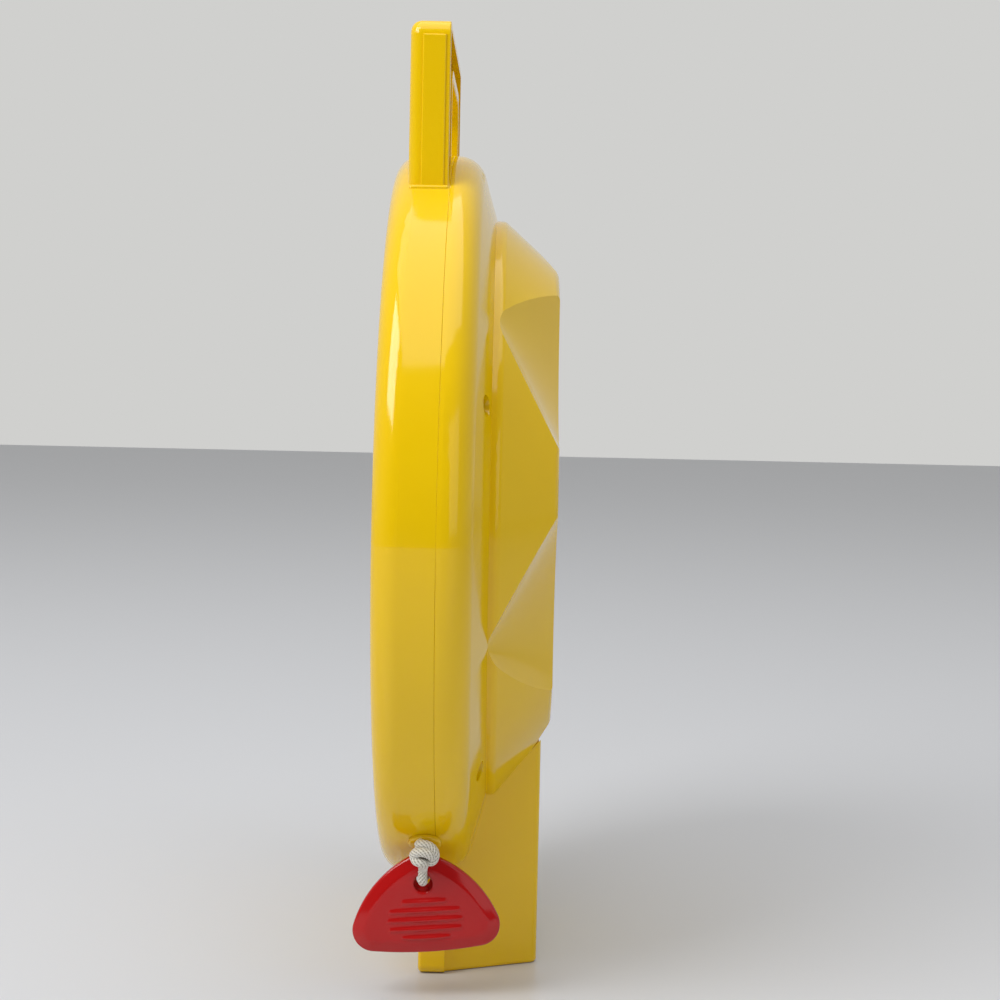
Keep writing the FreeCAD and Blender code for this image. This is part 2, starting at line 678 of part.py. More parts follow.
def pointer():
    """Moulded arrow: a round hub with one arrow arm and a finger ridge along it, pointing up."""
    hub = turned([
        (SHAFT_RADIUS, POINTER_BACK_Y, 0),
        (POINTER_HUB, POINTER_BACK_Y, 0.4),
        (POINTER_HUB, POINTER_FRONT_Y, 1.2),
        (SHAFT_RADIUS, POINTER_FRONT_Y, 0),
    ])
    arm = slab([
        (-POINTER_NECK, DISC_Z + SHAFT_RADIUS + 6, 0),
        (POINTER_NECK, DISC_Z + SHAFT_RADIUS + 6, 0),
        (POINTER_NECK, DISC_Z + POINTER_BARB_BACK, 2.0),
        (POINTER_BARB, DISC_Z + POINTER_BARB_BACK - 3, 2.0),
        (0, DISC_Z + POINTER_TIP, 3.0),
        (-POINTER_BARB, DISC_Z + POINTER_BARB_BACK - 3, 2.0),
        (-POINTER_NECK, DISC_Z + POINTER_BARB_BACK, 2.0),
    ], POINTER_FRONT_Y, POINTER_BACK_Y)
    tail = disc(POINTER_NECK + 2, POINTER_FRONT_Y, POINTER_BACK_Y, 0, DISC_Z - POINTER_HUB - 1)
    ridge = slab([
        (-1.6, DISC_Z + CAP_RADIUS + 2, 1.0),
        (1.6, DISC_Z + CAP_RADIUS + 2, 1.0),
        (1.6, DISC_Z + POINTER_BARB_BACK + 6, 1.0),
        (-1.6, DISC_Z + POINTER_BARB_BACK + 6, 1.0),
    ], POINTER_FRONT_Y - POINTER_RIDGE, POINTER_FRONT_Y)
    return fused([hub, arm, tail, ridge])


def pointer_cap():
    """Low domed button over the end of the selector shaft."""
    return turned([
        (0, POINTER_FRONT_Y, 0),
        (CAP_RADIUS, POINTER_FRONT_Y, 0),
        (CAP_RADIUS, POINTER_FRONT_Y - CAP_HEIGHT, 1.2),
        (0, POINTER_FRONT_Y - CAP_HEIGHT, 0),
    ])


def selector_shaft():
    """Shaft that carries the pointer in front and the notched wheel behind the dial floor."""
    body = disc(SHAFT_RADIUS, POINTER_FRONT_Y, SHAFT_BACK_Y)
    groove = ring(
        SHAFT_RADIUS + 1, SHAFT_RADIUS - GROOVE_DEPTH, WHEEL_BACK_Y, WHEEL_BACK_Y + CLIP_THICKNESS)
    return body.cut(groove)


def selector_wheel():
    """Twelve-notch wheel, one notch for each picture."""
    wheel = ring(WHEEL_RADIUS, SHAFT_RADIUS, WHEEL_FRONT_Y, WHEEL_BACK_Y)
    step = TAU / NOTCHES
    notches = []
    for i in range(NOTCHES):
        x, z = polar(WHEEL_RADIUS, -90 + step * i)
        notches.append(disc(NOTCH_RADIUS, WHEEL_FRONT_Y, WHEEL_BACK_Y, x, z))
    return wheel.cut(notches)


def open_clip(outer, inner, front_y, back_y):
    """Snap ring with a mouth that faces down."""
    mouth = Part.makeBox(
        1.4 * inner, back_y - front_y, 2 * outer, vec(-0.7 * inner, front_y, DISC_Z - 2 * outer))
    return ring(outer, inner, front_y, back_y).cut(mouth)


def shaft_clip():
    return open_clip(CLIP_RADIUS, SHAFT_RADIUS - GROOVE_DEPTH, WHEEL_BACK_Y, WHEEL_BACK_Y + CLIP_THICKNESS)


def leaf_anchor():
    """X and Z of the screw that holds the detent leaf, level with the leaf under the wheel."""
    return -LEAF_LENGTH, DISC_Z - WHEEL_RADIUS - GAP - LEAF_THICKNESS / 2


def detent_spring():
    """Leaf under the notched wheel, with a round nose that stands in the lowest notch."""
    x, z = leaf_anchor()
    top = DISC_Z - WHEEL_RADIUS - GAP
    leaf = Part.makeBox(
        LEAF_LENGTH + 5, WHEEL_THICKNESS, LEAF_THICKNESS, vec(x, WHEEL_FRONT_Y, top - LEAF_THICKNESS))
    pad = disc(LEAF_SCREW_RADIUS + 1.8, WHEEL_FRONT_Y, WHEEL_FRONT_Y + LEAF_THICKNESS, x, z)
    pad_web = Part.makeBox(5, LEAF_THICKNESS, 4, vec(x, WHEEL_FRONT_Y, z - 2))
    nose = disc(NOTCH_RADIUS - GAP, WHEEL_FRONT_Y, WHEEL_BACK_Y, 0, DISC_Z - WHEEL_RADIUS)
    hole = disc(LEAF_SCREW_RADIUS, WHEEL_FRONT_Y, WHEEL_BACK_Y, x, z)
    return fused([leaf, pad, pad_web, nose]).cut(hole)


def detent_screw():
    x, z = leaf_anchor()
    seat = WHEEL_FRONT_Y + WHEEL_THICKNESS
    head = disc(LEAF_SCREW_RADIUS + 1.2, seat, seat + 1.2, x, z)
    shank = disc(LEAF_SCREW_RADIUS, FLOOR_BACK_Y - WALL / 2, seat, x, z)
    return head.fuse(shank).removeSplitter()


def chassis_plate():
    """Round plate on four bosses that carries the spring motor, governor and tone arm."""
    plate = disc(PLATE_RADIUS, PLATE_FRONT_Y, PLATE_BACK_Y)
    holes = [disc(BUSH_RADIUS, PLATE_FRONT_Y, PLATE_BACK_Y)]
    for x, z in plate_screw_places():
        holes.append(disc(PLATE_SHANK, PLATE_FRONT_Y, PLATE_BACK_Y, x, z))
    gx, gz = polar(GOVERNOR_RADIUS, GOVERNOR_TURN)
    holes.append(disc(GOVERNOR_SHAFT + RUNNING_FIT, PLATE_FRONT_Y, PLATE_BACK_Y, gx, gz))
    ax, az = polar(ARM_PIVOT_RADIUS, ARM_TURN)
    holes.append(disc(ARM_PIN_RADIUS, PLATE_FRONT_Y, PLATE_BACK_Y, ax, az))
    return plate.cut(holes)


def chassis_screws():
    screws = []
    for x, z in plate_screw_places():
        head = disc(PLATE_SHANK + 1.6, PLATE_BACK_Y, PLATE_BACK_Y + 1.8, x, z)
        shank = disc(PLATE_SHANK, PLATE_BACK_Y - PLATE_SHANK_LENGTH, PLATE_BACK_Y, x, z)
        screw = cross_slotted(head.fuse(shank), PLATE_BACK_Y + 1.8, x, z, 1.5, 0.6, 0.9)
        screws.append(screw.removeSplitter())
    return group(screws)


def spring_cup():
    """Open cup riveted to the plate round the mainspring."""
    return ring(CUP_RADIUS, CUP_RADIUS - CUP_WALL, CUP_FRONT_Y, PLATE_FRONT_Y)


def mainspring():
    """Flat coiled strip, drawn as half turns whose centres step from side to side."""
    front = CUP_FRONT_Y + SPRING_MARGIN
    back = PLATE_FRONT_Y - SPRING_MARGIN
    outer_points = []
    inner_points = []
    centre = 0.0
    radius = SPRING_INNER + SPRING_STRIP
    for half_turn in range(2 * SPRING_TURNS):
        side = 1 if half_turn % 2 == 0 else -1
        outer_points.append((centre, radius, side))
        inner_points.append((centre, radius - SPRING_STRIP, side))
        centre += side * SPRING_PITCH / 2
        radius += SPRING_PITCH / 2
    place = in_xz(front)

    def half_circle(entry):
        middle_x, size, side = entry
        start = place(middle_x + side * size, DISC_Z)
        top = place(middle_x, DISC_Z + side * size)
        end = place(middle_x - side * size, DISC_Z)
        return Part.Arc(start, top, end).toShape(), start, end

    outer = [half_circle(entry) for entry in outer_points]
    inner = [half_circle(entry) for entry in inner_points]
    edges = [part[0] for part in outer] + [part[0] for part in inner]
    edges.append(Part.makeLine(outer[0][1], inner[0][1]))
    edges.append(Part.makeLine(outer[-1][2], inner[-1][2]))
    wire = Part.Wire(Part.__sortEdges__(edges))
    coil = Part.Face(wire).extrude(vec(0, back - front, 0))
    reach = CUP_RADIUS - CUP_WALL
    start = outer[-1][2].x - SPRING_STRIP
    hook = Part.makeBox(reach - start, back - front, SPRING_STRIP, vec(start, front, DISC_Z - SPRING_STRIP / 2))
    return fused([coil, hook])


def bearing_bush():
    """Flanged bush in the plate that the spindle runs in."""
    body = disc(BUSH_RADIUS, PLATE_FRONT_Y, PLATE_BACK_Y)
    flange = disc(BUSH_FLANGE, PLATE_BACK_Y, PLATE_BACK_Y + BUSH_FLANGE_THICKNESS)
    bore = disc(SPINDLE_RADIUS + RUNNING_FIT, PLATE_FRONT_Y, PLATE_BACK_Y + BUSH_FLANGE_THICKNESS)
    return fused([body, flange]).cut(bore)


def spindle():
    """Steel spindle with chamfered ends that turns the spool and the record together."""
    end = 0.4
    return turned([
        (0, SPOOL_FRONT_Y, 0),
        (SPINDLE_RADIUS - end, SPOOL_FRONT_Y, 0),
        (SPINDLE_RADIUS, SPOOL_FRONT_Y + end, 0),
        (SPINDLE_RADIUS, RECORD_CLIP_BACK_Y, 0),
        (SPINDLE_RADIUS - end, RECORD_CLIP_BACK_Y + end, 0),
        (0, RECORD_CLIP_BACK_Y + end, 0),
    ])


def string_spool():
    """Drum between two flanges that the string winds on."""
    front_web = SPOOL_FRONT_Y + SPOOL_WEB
    back_web = SPOOL_BACK_Y - SPOOL_WEB
    return turned([
        (SPINDLE_RADIUS, SPOOL_FRONT_Y, 0),
        (SPOOL_FLANGE, SPOOL_FRONT_Y, 0.3),
        (SPOOL_FLANGE, front_web, 0),
        (SPOOL_DRUM, front_web, 0),
        (SPOOL_DRUM, back_web, 0),
        (SPOOL_FLANGE, back_web, 0),
        (SPOOL_FLANGE, SPOOL_BACK_Y, 0.3),
        (SPINDLE_RADIUS, SPOOL_BACK_Y, 0),
    ])


def string_winding():
    """The string that is wound on the drum, as one ring with a rounded outside."""
    half = WINDING_WIDTH / 2
    return turned([
        (SPOOL_DRUM, SPOOL_Y - half, 0),
        (WINDING_RADIUS, SPOOL_Y - half, 1.0),
        (WINDING_RADIUS, SPOOL_Y + half, 1.0),
        (SPOOL_DRUM, SPOOL_Y + half, 0),
    ])


def turntable():
    """Platter that carries the record, with a belt groove round its rim."""
    groove = BELT / 2 + 0.2
    floor = TABLE_RADIUS - TABLE_GROOVE
    return turned([
        (SPINDLE_RADIUS, TABLE_FRONT_Y, 0),
        (TABLE_RADIUS, TABLE_FRONT_Y, 0.4),
        (TABLE_RADIUS, BELT_Y - groove, 0),
        (floor, BELT_Y - groove, 0),
        (floor, BELT_Y + groove, 0),
        (TABLE_RADIUS, BELT_Y + groove, 0),
        (TABLE_RADIUS, TABLE_BACK_Y, 0.4),
        (SPINDLE_RADIUS, TABLE_BACK_Y, 0),
    ])


def record_disc():
    """Small hard record; its sound tracks are drawn as a few wide rings."""
    record = ring(RECORD_RADIUS, SPINDLE_RADIUS, TABLE_BACK_Y, RECORD_BACK_Y)
    depth = 0.3
    tracks = []
    for i in range(RECORD_GROOVES):
        radius = RECORD_RADIUS - 2 - RECORD_GROOVE_STEP * i
        tracks.append(ring(radius, radius - 0.5, RECORD_BACK_Y - depth, RECORD_BACK_Y))
    return record.cut(tracks)


def record_clip():
    return open_clip(RECORD_CLIP_RADIUS, SPINDLE_RADIUS, RECORD_BACK_Y, RECORD_CLIP_BACK_Y)


def belt_loop(radius_a, radius_b, offset):
    """Outline of a belt round two pulleys, the first at the disc's centre, grown by offset."""
    big = radius_a + offset
    small = radius_b + offset
    lean = math.acos((big - small) / GOVERNOR_RADIUS)
    place = in_xz(BELT_Y - BELT / 2)

    def on(radius, centre, angle):
        return place(centre + radius * math.cos(angle), DISC_Z + radius * math.sin(angle))

    far_arc = Part.Arc(on(big, 0, lean), on(big, 0, math.pi), on(big, 0, -lean)).toShape()
    near_arc = Part.Arc(
        on(small, GOVERNOR_RADIUS, -lean), on(small, GOVERNOR_RADIUS, 0), on(small, GOVERNOR_RADIUS, lean)).toShape()
    lower = Part.makeLine(on(big, 0, -lean), on(small, GOVERNOR_RADIUS, -lean))
    upper = Part.makeLine(on(small, GOVERNOR_RADIUS, lean), on(big, 0, lean))
    return Part.Face(Part.Wire([far_arc, lower, near_arc, upper]))


def drive_belt():
    """Rubber belt from the turntable's rim to the governor pulley."""
    table = TABLE_RADIUS - TABLE_GROOVE + GAP
    pulley = PULLEY_GROOVE + GAP
    outer = belt_loop(table, pulley, BELT).extrude(vec(0, BELT, 0))
    inner = belt_loop(table, pulley, 0).extrude(vec(0, BELT, 0))
    return spun(outer.cut(inner), GOVERNOR_TURN)


def governor_place():
    return polar(GOVERNOR_RADIUS, GOVERNOR_TURN)


def governor_levels():
    """Depths of the governor's parts: spring plate, weights and the cup's floor."""
    plate_y = BELT_Y + BELT / 2 + 1.6
    weights_y = plate_y + 0.8
    cup_floor_y = weights_y + WEIGHT_HEIGHT + 0.6
    return plate_y, weights_y, cup_floor_y


def governor_shaft():
    x, z = governor_place()
    cup_floor_y = governor_levels()[2]
    return disc(GOVERNOR_SHAFT, PLATE_FRONT_Y, cup_floor_y + GOVERNOR_CUP_WALL, x, z)


def governor_pulley():
    x, z = governor_place()
    half = BELT / 2 + 0.2
    cheek = 0.8
    body = disc(PULLEY_RADIUS, BELT_Y - half - cheek, BELT_Y + half + cheek, x, z)
    groove = ring(PULLEY_RADIUS, PULLEY_GROOVE, BELT_Y - half, BELT_Y + half, x, z)
    return body.cut(groove).cut(disc(GOVERNOR_SHAFT, PLATE_BACK_Y, TABLE_BACK_Y + 2, x, z))


def governor_spring():
    """Thin three-armed plate whose arms bend outwards with the weights."""
    x, z = governor_place()
    plate_y, weights_y, _ = governor_levels()
    hub = disc(3.2, plate_y, weights_y, x, z)
    arms = [hub]
    for i in range(WEIGHTS):
        arm = Part.makeBox(WEIGHT_OUTER - 1.5, weights_y - plate_y, 2.4, vec(x, plate_y, z - 1.2))
        arm.rotate(vec(x, 0, z), -DEPTH, GOVERNOR_TURN + TAU / WEIGHTS * i)
        arms.append(arm)
    return fused(arms).cut(disc(GOVERNOR_SHAFT, plate_y, weights_y, x, z))


def governor_weights():
    """Curved brass weights that fly out and rub the brake cup."""
    x, z = governor_place()
    weights_y = governor_levels()[1]
    back_y = weights_y + WEIGHT_HEIGHT
    half_space = Part.makeBox(4 * WEIGHT_OUTER, WEIGHT_HEIGHT, WEIGHT_OUTER * 0.62 * 2,
                              vec(x, weights_y, z - WEIGHT_OUTER * 0.62))
    weight = ring(WEIGHT_OUTER, WEIGHT_INNER, weights_y, back_y, x, z).common(half_space)
    weights = []
    for i in range(WEIGHTS):
        copy = weight.copy()
        copy.rotate(vec(x, 0, z), -DEPTH, GOVERNOR_TURN + TAU / WEIGHTS * i)
        weights.append(copy)
    return group(weights)


def governor_cup():
    """Brake cup over the weights, on two legs that stand on the plate."""
    x, z = governor_place()
    plate_y, _, cup_floor_y = governor_levels()
    back_y = cup_floor_y + GOVERNOR_CUP_WALL
    cup = disc(GOVERNOR_CUP, plate_y, back_y, x, z)
    cup = cup.cut(disc(GOVERNOR_CUP - GOVERNOR_CUP_WALL, plate_y, cup_floor_y, x, z))
    leg = Part.makeBox(3.0, back_y - PLATE_BACK_Y, 6.0, vec(x + GOVERNOR_CUP - 1.2, PLATE_BACK_Y, z - 3))
    legs = []
    for side in (60, 300):
        copy = leg.copy()
        copy.rotate(vec(x, 0, z), -DEPTH, GOVERNOR_TURN + side)
        legs.append(copy)
    bore = disc(GOVERNOR_SHAFT + RUNNING_FIT, cup_floor_y - 1, back_y + 1, x, z)
    return fused([cup] + legs).cut(bore)


def arm_pivot():
    return polar(ARM_PIVOT_RADIUS, ARM_TURN)


def arm_levels():
    """Depths where the tone arm's hub starts and ends."""
    return ARM_FRONT_Y - 0.2, ARM_BACK_Y + 0.6


def tone_arm_pin():
    """Post riveted in the plate, with a shoulder under the arm's hub."""
    x, z = arm_pivot()
    hub_front, hub_back = arm_levels()
    rivet = disc(ARM_PIN_RADIUS, PLATE_FRONT_Y, PLATE_BACK_Y, x, z)
    shoulder = disc(ARM_SHOULDER, PLATE_BACK_Y, hub_front - GAP, x, z)
    pin = disc(ARM_PIN_RADIUS, hub_front - GAP, hub_back + GAP + 1.2, x, z)
    return fused([rivet, shoulder, pin])


def arm_clip():
    x, z = arm_pivot()
    hub_back = arm_levels()[1]
    return ring(ARM_SHOULDER + 0.8, ARM_PIN_RADIUS, hub_back + GAP, hub_back + GAP + 0.8, x, z)


def arm_angle():
    """Direction of the arm from its pivot at rest, with the needle on the inner track."""
    return ARM_TURN + 180 + ARM_REST_DEGREES


def tone_arm():
    """Flat arm with a hub at the pivot and a rib along its back, narrowing to the needle."""
    x, z = arm_pivot()
    hub_front, hub_back = arm_levels()
    half = ARM_WIDTH / 2
    tip = 1.9
    blade = slab([
        (x, z - half, 0),
        (x + ARM_LENGTH, z - tip, tip * 0.9),
        (x + ARM_LENGTH + 3, z, 0),
        (x + ARM_LENGTH, z + tip, tip * 0.9),
        (x, z + half, 0),
    ], ARM_FRONT_Y, ARM_BACK_Y)
    hub = disc(ARM_HUB, hub_front, hub_back, x, z)
    bore = disc(ARM_PIN_RADIUS + RUNNING_FIT, hub_front, hub_back, x, z)
    arm = fused([blade, hub]).cut(bore)
    sx, sz = x + ARM_LENGTH, z
    arm = arm.cut(disc(STYLUS_RADIUS, ARM_FRONT_Y, ARM_BACK_Y, sx, sz))
    arm.rotate(vec(x, 0, z), -DEPTH, arm_angle())
    return arm


def stylus():
    """Needle in the arm's end, with a cone point just over the record."""
    x, z = arm_pivot()
    turn = math.radians(arm_angle())
    sx = x + ARM_LENGTH * math.cos(turn)
    sz = z + ARM_LENGTH * math.sin(turn)
    tip_y = RECORD_BACK_Y + GAP
    point = Part.makeCone(0.1, STYLUS_RADIUS, 0.8, vec(sx, tip_y, sz), DEPTH)
    return point.fuse(disc(STYLUS_RADIUS, tip_y + 0.8, ARM_BACK_Y, sx, sz)).removeSplitter()


def arm_spring():
    """Light coil round the post's shoulder that keeps the arm towards the first track."""
    x, z = arm_pivot()
    start = PLATE_BACK_Y + ARM_SPRING_WIRE
    end = arm_levels()[0] - ARM_SPRING_WIRE - GAP
    radius = ARM_SHOULDER + GAP + ARM_SPRING_WIRE / 2
    pitch = (end - start) / ARM_SPRING_TURNS
    helix = Part.makeHelix(pitch, end - start, radius)
    wire = Part.Wire(Part.makeCircle(ARM_SPRING_WIRE / 2, vec(radius, 0, 0), vec(0, 1, 0)))
    coil = Part.Wire(helix).makePipeShell([wire], True, True)
    coil.rotate(vec(0, 0, 0), vec(1, 0, 0), -90)
    coil.translate(vec(x, start, z))
    return Part.Solid(coil) if coil.ShapeType == "Shell" else coil


def speaker_cone():
    """Thin cone whose apex faces the tone arm and whose rim is clamped under the frame's screws."""
    reach = CONE_RADIUS - CONE_APEX_RADIUS
    skin = CONE_WALL / 2
    cone = turned([
        (0, CONE_APEX_Y, 0),
        (CONE_APEX_RADIUS, CONE_APEX_Y, 0),
        (CONE_APEX_RADIUS + reach * 0.94, FRAME_FRONT_Y - CONE_WALL, 0),
        (FRAME_RADIUS - 2, FRAME_FRONT_Y - CONE_WALL, 0),
        (FRAME_RADIUS - 2, FRAME_FRONT_Y, 0),
        (CONE_APEX_RADIUS + reach * 0.94 - skin, FRAME_FRONT_Y, 0),
        (CONE_APEX_RADIUS - skin, CONE_APEX_Y + CONE_WALL, 0),
        (0, CONE_APEX_Y + CONE_WALL, 0),
    ], DOME_Z)
    seat = FRAME_FRONT_Y - CONE_WALL
    return cone.cut([disc(FRAME_SHANK, seat, FRAME_FRONT_Y, x, z) for x, z in frame_screw_places()])


def sound_bar():
    """Light bar glued to the cone's apex that reaches out over the tone arm."""
    turn = ARM_TURN + 12
    bar = Part.makeBox(
        BAR_REACH, BAR_THICKNESS, BAR_WIDTH,
        vec(0, CONE_APEX_Y - BAR_THICKNESS, DOME_Z - BAR_WIDTH / 2))
    end = disc(BAR_WIDTH / 2, CONE_APEX_Y - BAR_THICKNESS, CONE_APEX_Y, BAR_REACH, DOME_Z)
    root = disc(CONE_APEX_RADIUS - 0.5, CONE_APEX_Y - BAR_THICKNESS, CONE_APEX_Y, 0, DOME_Z)
    return spun(fused([bar, end, root]), turn, DOME_Z)


def speaker_frame():
    """Ring that clamps the cone's rim behind the grille."""
    frame = ring(FRAME_RADIUS, FRAME_INNER, FRAME_FRONT_Y, FRAME_BACK_Y, 0, DOME_Z)
    return frame.cut([disc(FRAME_SHANK, FRAME_FRONT_Y, FRAME_BACK_Y, x, z) for x, z in frame_screw_places()])


def speaker_screws():
    screws = []
    seat = FRAME_FRONT_Y - CONE_WALL
    for x, z in frame_screw_places():
        head = disc(FRAME_SHANK + 1.1, seat - 1.3, seat, x, z)
        shank = disc(FRAME_SHANK, seat, DOME_TOP_Y - 1, x, z)
        screws.append(head.fuse(shank).removeSplitter())
    return group(screws)


def along_exit(distance):
    """Point on the string's way out through the rim, at a distance from the disc's axis."""
    x, z = polar(distance, EXIT_TURN)
    return vec(x, SPOOL_Y, z)


def string_bushing():
    """Flanged bush in the rim with a flared mouth."""
    profile = [
        (BUSHING_BORE, -BUSHING_LENGTH, 0),
        (BUSHING_BARREL, -BUSHING_LENGTH, 0),
        (BUSHING_BARREL, 0, 0),
        (BUSHING_FLANGE, 0, 0),
        (BUSHING_FLANGE, BUSHING_THICKNESS, BUSHING_ROUND),
        (BUSHING_BORE, BUSHING_THICKNESS, BUSHING_ROUND),
    ]
    face = outline(profile, lambda u, v: vec(u, v, 0))
    bush = face.revolve(vec(0, 0, 0), DEPTH, TAU)
    bush.rotate(vec(0, 0, 0), vec(0, 0, 1), -90)
    bush.rotate(vec(0, 0, 0), DEPTH, -EXIT_TURN)
    bush.translate(along_exit(DISC_RADIUS))
    return bush


def tube(points, radius, bend):
    """Round cord along straight runs that are joined by tangent arcs of one bend radius."""
    edges = []
    here = points[0]
    for i in range(1, len(points) - 1):
        corner = points[i]
        back = (points[i - 1] - corner).normalize()
        ahead = (points[i + 1] - corner).normalize()
        half = back.getAngle(ahead) / 2
        run = bend / math.tan(half)
        enter = corner + back * run
        leave = corner + ahead * run
        middle = corner + (back + ahead).normalize() * (bend / math.sin(half) - bend)
        edges.append(Part.makeLine(here, enter))
        edges.append(Part.Arc(enter, middle, leave).toShape())
        here = leave
    edges.append(Part.makeLine(here, points[-1]))
    path = Part.Wire(edges)
    start = (points[1] - points[0]).normalize()
    section = Part.Wire(Part.makeCircle(radius, points[0], start))
    return path.makePipeShell([section], True, False)


def bushing_mouth():
    """Middle of the bushing's outer face, where the string comes out."""
    return along_exit(DISC_RADIUS + BUSHING_THICKNESS)


def knot_centre():
    return bushing_mouth() + KNOT_FROM_MOUTH


def tab_hole():
    return bushing_mouth() + TAB_FROM_MOUTH


def tab_pivot():
    """Middle of the strand in the tab's hole, which the tab swings on."""
    return tab_hole() + vec(0, 0, TAB_PIVOT_RISE)


def knot_lobes(grow=0.0):
    """Upper and lower lobe of the knot, grown by a clearance."""
    centre = knot_centre()
    upper = Part.makeSphere(KNOT_RADIUS + grow, centre + vec(0, 0.9, 0.3))
    lower = Part.makeSphere(KNOT_LOBE_RADIUS + grow, centre + vec(0.2, -2.2, -1.6))
    return fused([upper, lower])


def string_run():
    """String off the winding, straight to the rim, out of the bushing and up to the knot."""
    reel = WINDING_RADIUS - STRING_RADIUS
    turn_in = DISC_RADIUS - BUSHING_LENGTH - STRING_STRAIGHT
    gate = along_exit(turn_in)
    swing = math.degrees(math.acos(reel / turn_in))
    tangent_x, tangent_z = polar(reel, EXIT_TURN - swing)
    touch = vec(tangent_x, SPOOL_Y, tangent_z)
    away = (gate - touch).normalize()
    clear = WINDING_RADIUS + GAP + STRING_RADIUS
    start = touch + away * math.sqrt(clear ** 2 - reel ** 2)
    mouth = along_exit(DISC_RADIUS + BUSHING_THICKNESS + 0.6)
    inside = tube([start, gate, along_exit(DISC_RADIUS)], STRING_RADIUS, STRING_BEND)
    outside = tube([along_exit(DISC_RADIUS), mouth, knot_centre()], STRING_RADIUS, STRING_MOUTH_BEND)
    return fused([inside, outside]).cut(knot_lobes(GAP))


def string_knot():
    """Stopper knot of two lobes that rests against the bushing."""
    return knot_lobes()


def string_strand():
    """Strand from the knot, down in front of the tab and through its hole."""
    centre = knot_centre()
    pivot = tab_pivot()
    front_x = pivot.x + TAB_THICKNESS / 2 + STRING_RADIUS + GAP
    back_x = pivot.x - TAB_THICKNESS / 2 - GAP
    points = [
        centre + vec(-0.6, -0.8, 0),
        vec(front_x, pivot.y, pivot.z + 5.2),
        vec(front_x, pivot.y, pivot.z),
        vec(back_x, pivot.y, pivot.z),
    ]
    strand = tube(points, STRING_RADIUS, 1.6)
    return strand.cut(knot_lobes())


def string_end_knot():
    """Small knot behind the tab that keeps the string in its hole."""
    pivot = tab_pivot()
    back_x = pivot.x - TAB_THICKNESS / 2 - GAP
    ball = Part.makeSphere(END_KNOT_RADIUS, vec(back_x - END_KNOT_RADIUS + 0.4, pivot.y, pivot.z))
    slice_off = Part.makeBox(10, 20, 20, vec(back_x, pivot.y - 10, pivot.z - 10))
    return ball.cut(slice_off)


def blend_circle(centre_a, radius_a, centre_b, radius_b, radius, outside):
    """Centre of the arc that wraps two circles, on the side that outside points to."""
    gap = centre_b - centre_a
    reach_a = radius - radius_a
    reach_b = radius - radius_b
    along = (reach_a ** 2 - reach_b ** 2 + gap.Length ** 2) / (2 * gap.Length)
    across = math.sqrt(reach_a ** 2 - along ** 2)
    unit = vec(gap.x, gap.y, gap.z).normalize()
    square = vec(0, -unit.z, unit.y)
    if square.dot(outside) > 0:
        square = square * -1
    return centre_a + unit * along + square * across


def tab_outline(inset, x):
    """Rounded triangle of six tangent arcs about the hole's centre, drawn in by inset, at depth x."""
    apex_radius = TAB_APEX_RADIUS - inset
    corner_radius = TAB_CORNER_RADIUS - inset
    base_z = TAB_APEX_RISE - TAB_HEIGHT
    corner_z = base_z + TAB_CORNER_RADIUS + 0.9
    corner_y = TAB_HALF_WIDTH - TAB_CORNER_RADIUS
    apex = vec(x, 0, TAB_APEX_RISE - TAB_APEX_RADIUS)
    right = vec(x, corner_y, corner_z)
    left = vec(x, -corner_y, corner_z)
    middle = (apex + right + left) * (1 / 3)
    sides = (
        (apex, apex_radius, right, corner_radius, TAB_SIDE_RADIUS - inset),
        (right, corner_radius, left, corner_radius, TAB_BASE_RADIUS - inset),
        (left, corner_radius, apex, apex_radius, TAB_SIDE_RADIUS - inset),
    )
    touches = []
    sweeps = []
    for start, start_radius, end, end_radius, radius in sides:
        outside = (start + end) * 0.5 - middle
        centre = blend_circle(start, start_radius, end, end_radius, radius, outside)
        first = centre + (start - centre).normalize() * radius
        last = centre + (end - centre).normalize() * radius
        crown = centre + ((first + last) * 0.5 - centre).normalize() * radius
        sweeps.append(Part.Arc(first, crown, last).toShape())
        touches.append((first, last))
    edges = []
    corners = ((apex, apex_radius), (right, corner_radius), (left, corner_radius))
    for i, (centre, radius) in enumerate(corners):
        arrive = touches[i - 1][1]
        leave = touches[i][0]
        crown = centre + ((arrive + leave) * 0.5 - centre).normalize() * radius
        edges.append(Part.Arc(arrive, crown, leave).toShape())
        edges.append(sweeps[i])
    return Part.Wire(edges)


def pull_tab():
    """Finger tab with bevelled faces, five grip ribs on each face and a hole for the string."""
    half = TAB_THICKNESS / 2
    rim = TAB_RIM_THICKNESS / 2
    levels = ((TAB_BEVEL, -half), (TAB_RIM_ROUND * 0.6, -rim - 0.1), (0, -rim + TAB_RIM_ROUND),
              (0, rim - TAB_RIM_ROUND), (TAB_RIM_ROUND * 0.6, rim + 0.1), (TAB_BEVEL, half))
    plate = Part.makeLoft([tab_outline(inset, x) for inset, x in levels], True, True)
    ribs = []
    for i in range(RIBS):
        length = RIB_HALF_LENGTHS[i]
        z = -RIB_FIRST - RIB_STEP * i
        for x in (-half, half):
            start = vec(x, -length, z)
            ribs.append(Part.makeCylinder(RIB_RADIUS, 2 * length, start, DEPTH))
            ribs += [Part.makeSphere(RIB_RADIUS, vec(x, side * length, z)) for side in (-1, 1)]
    tab = fused([plate] + ribs)
    hole = Part.makeCylinder(TAB_HOLE_RADIUS, 2 * TAB_THICKNESS, vec(-TAB_THICKNESS, 0, 0), vec(1, 0, 0))
    tab = tab.cut(hole)
    tab.rotate(vec(0, 0, TAB_PIVOT_RISE), vec(1, 0, 0), TAB_TILT)
    tab.translate(tab_hole())
    return tab


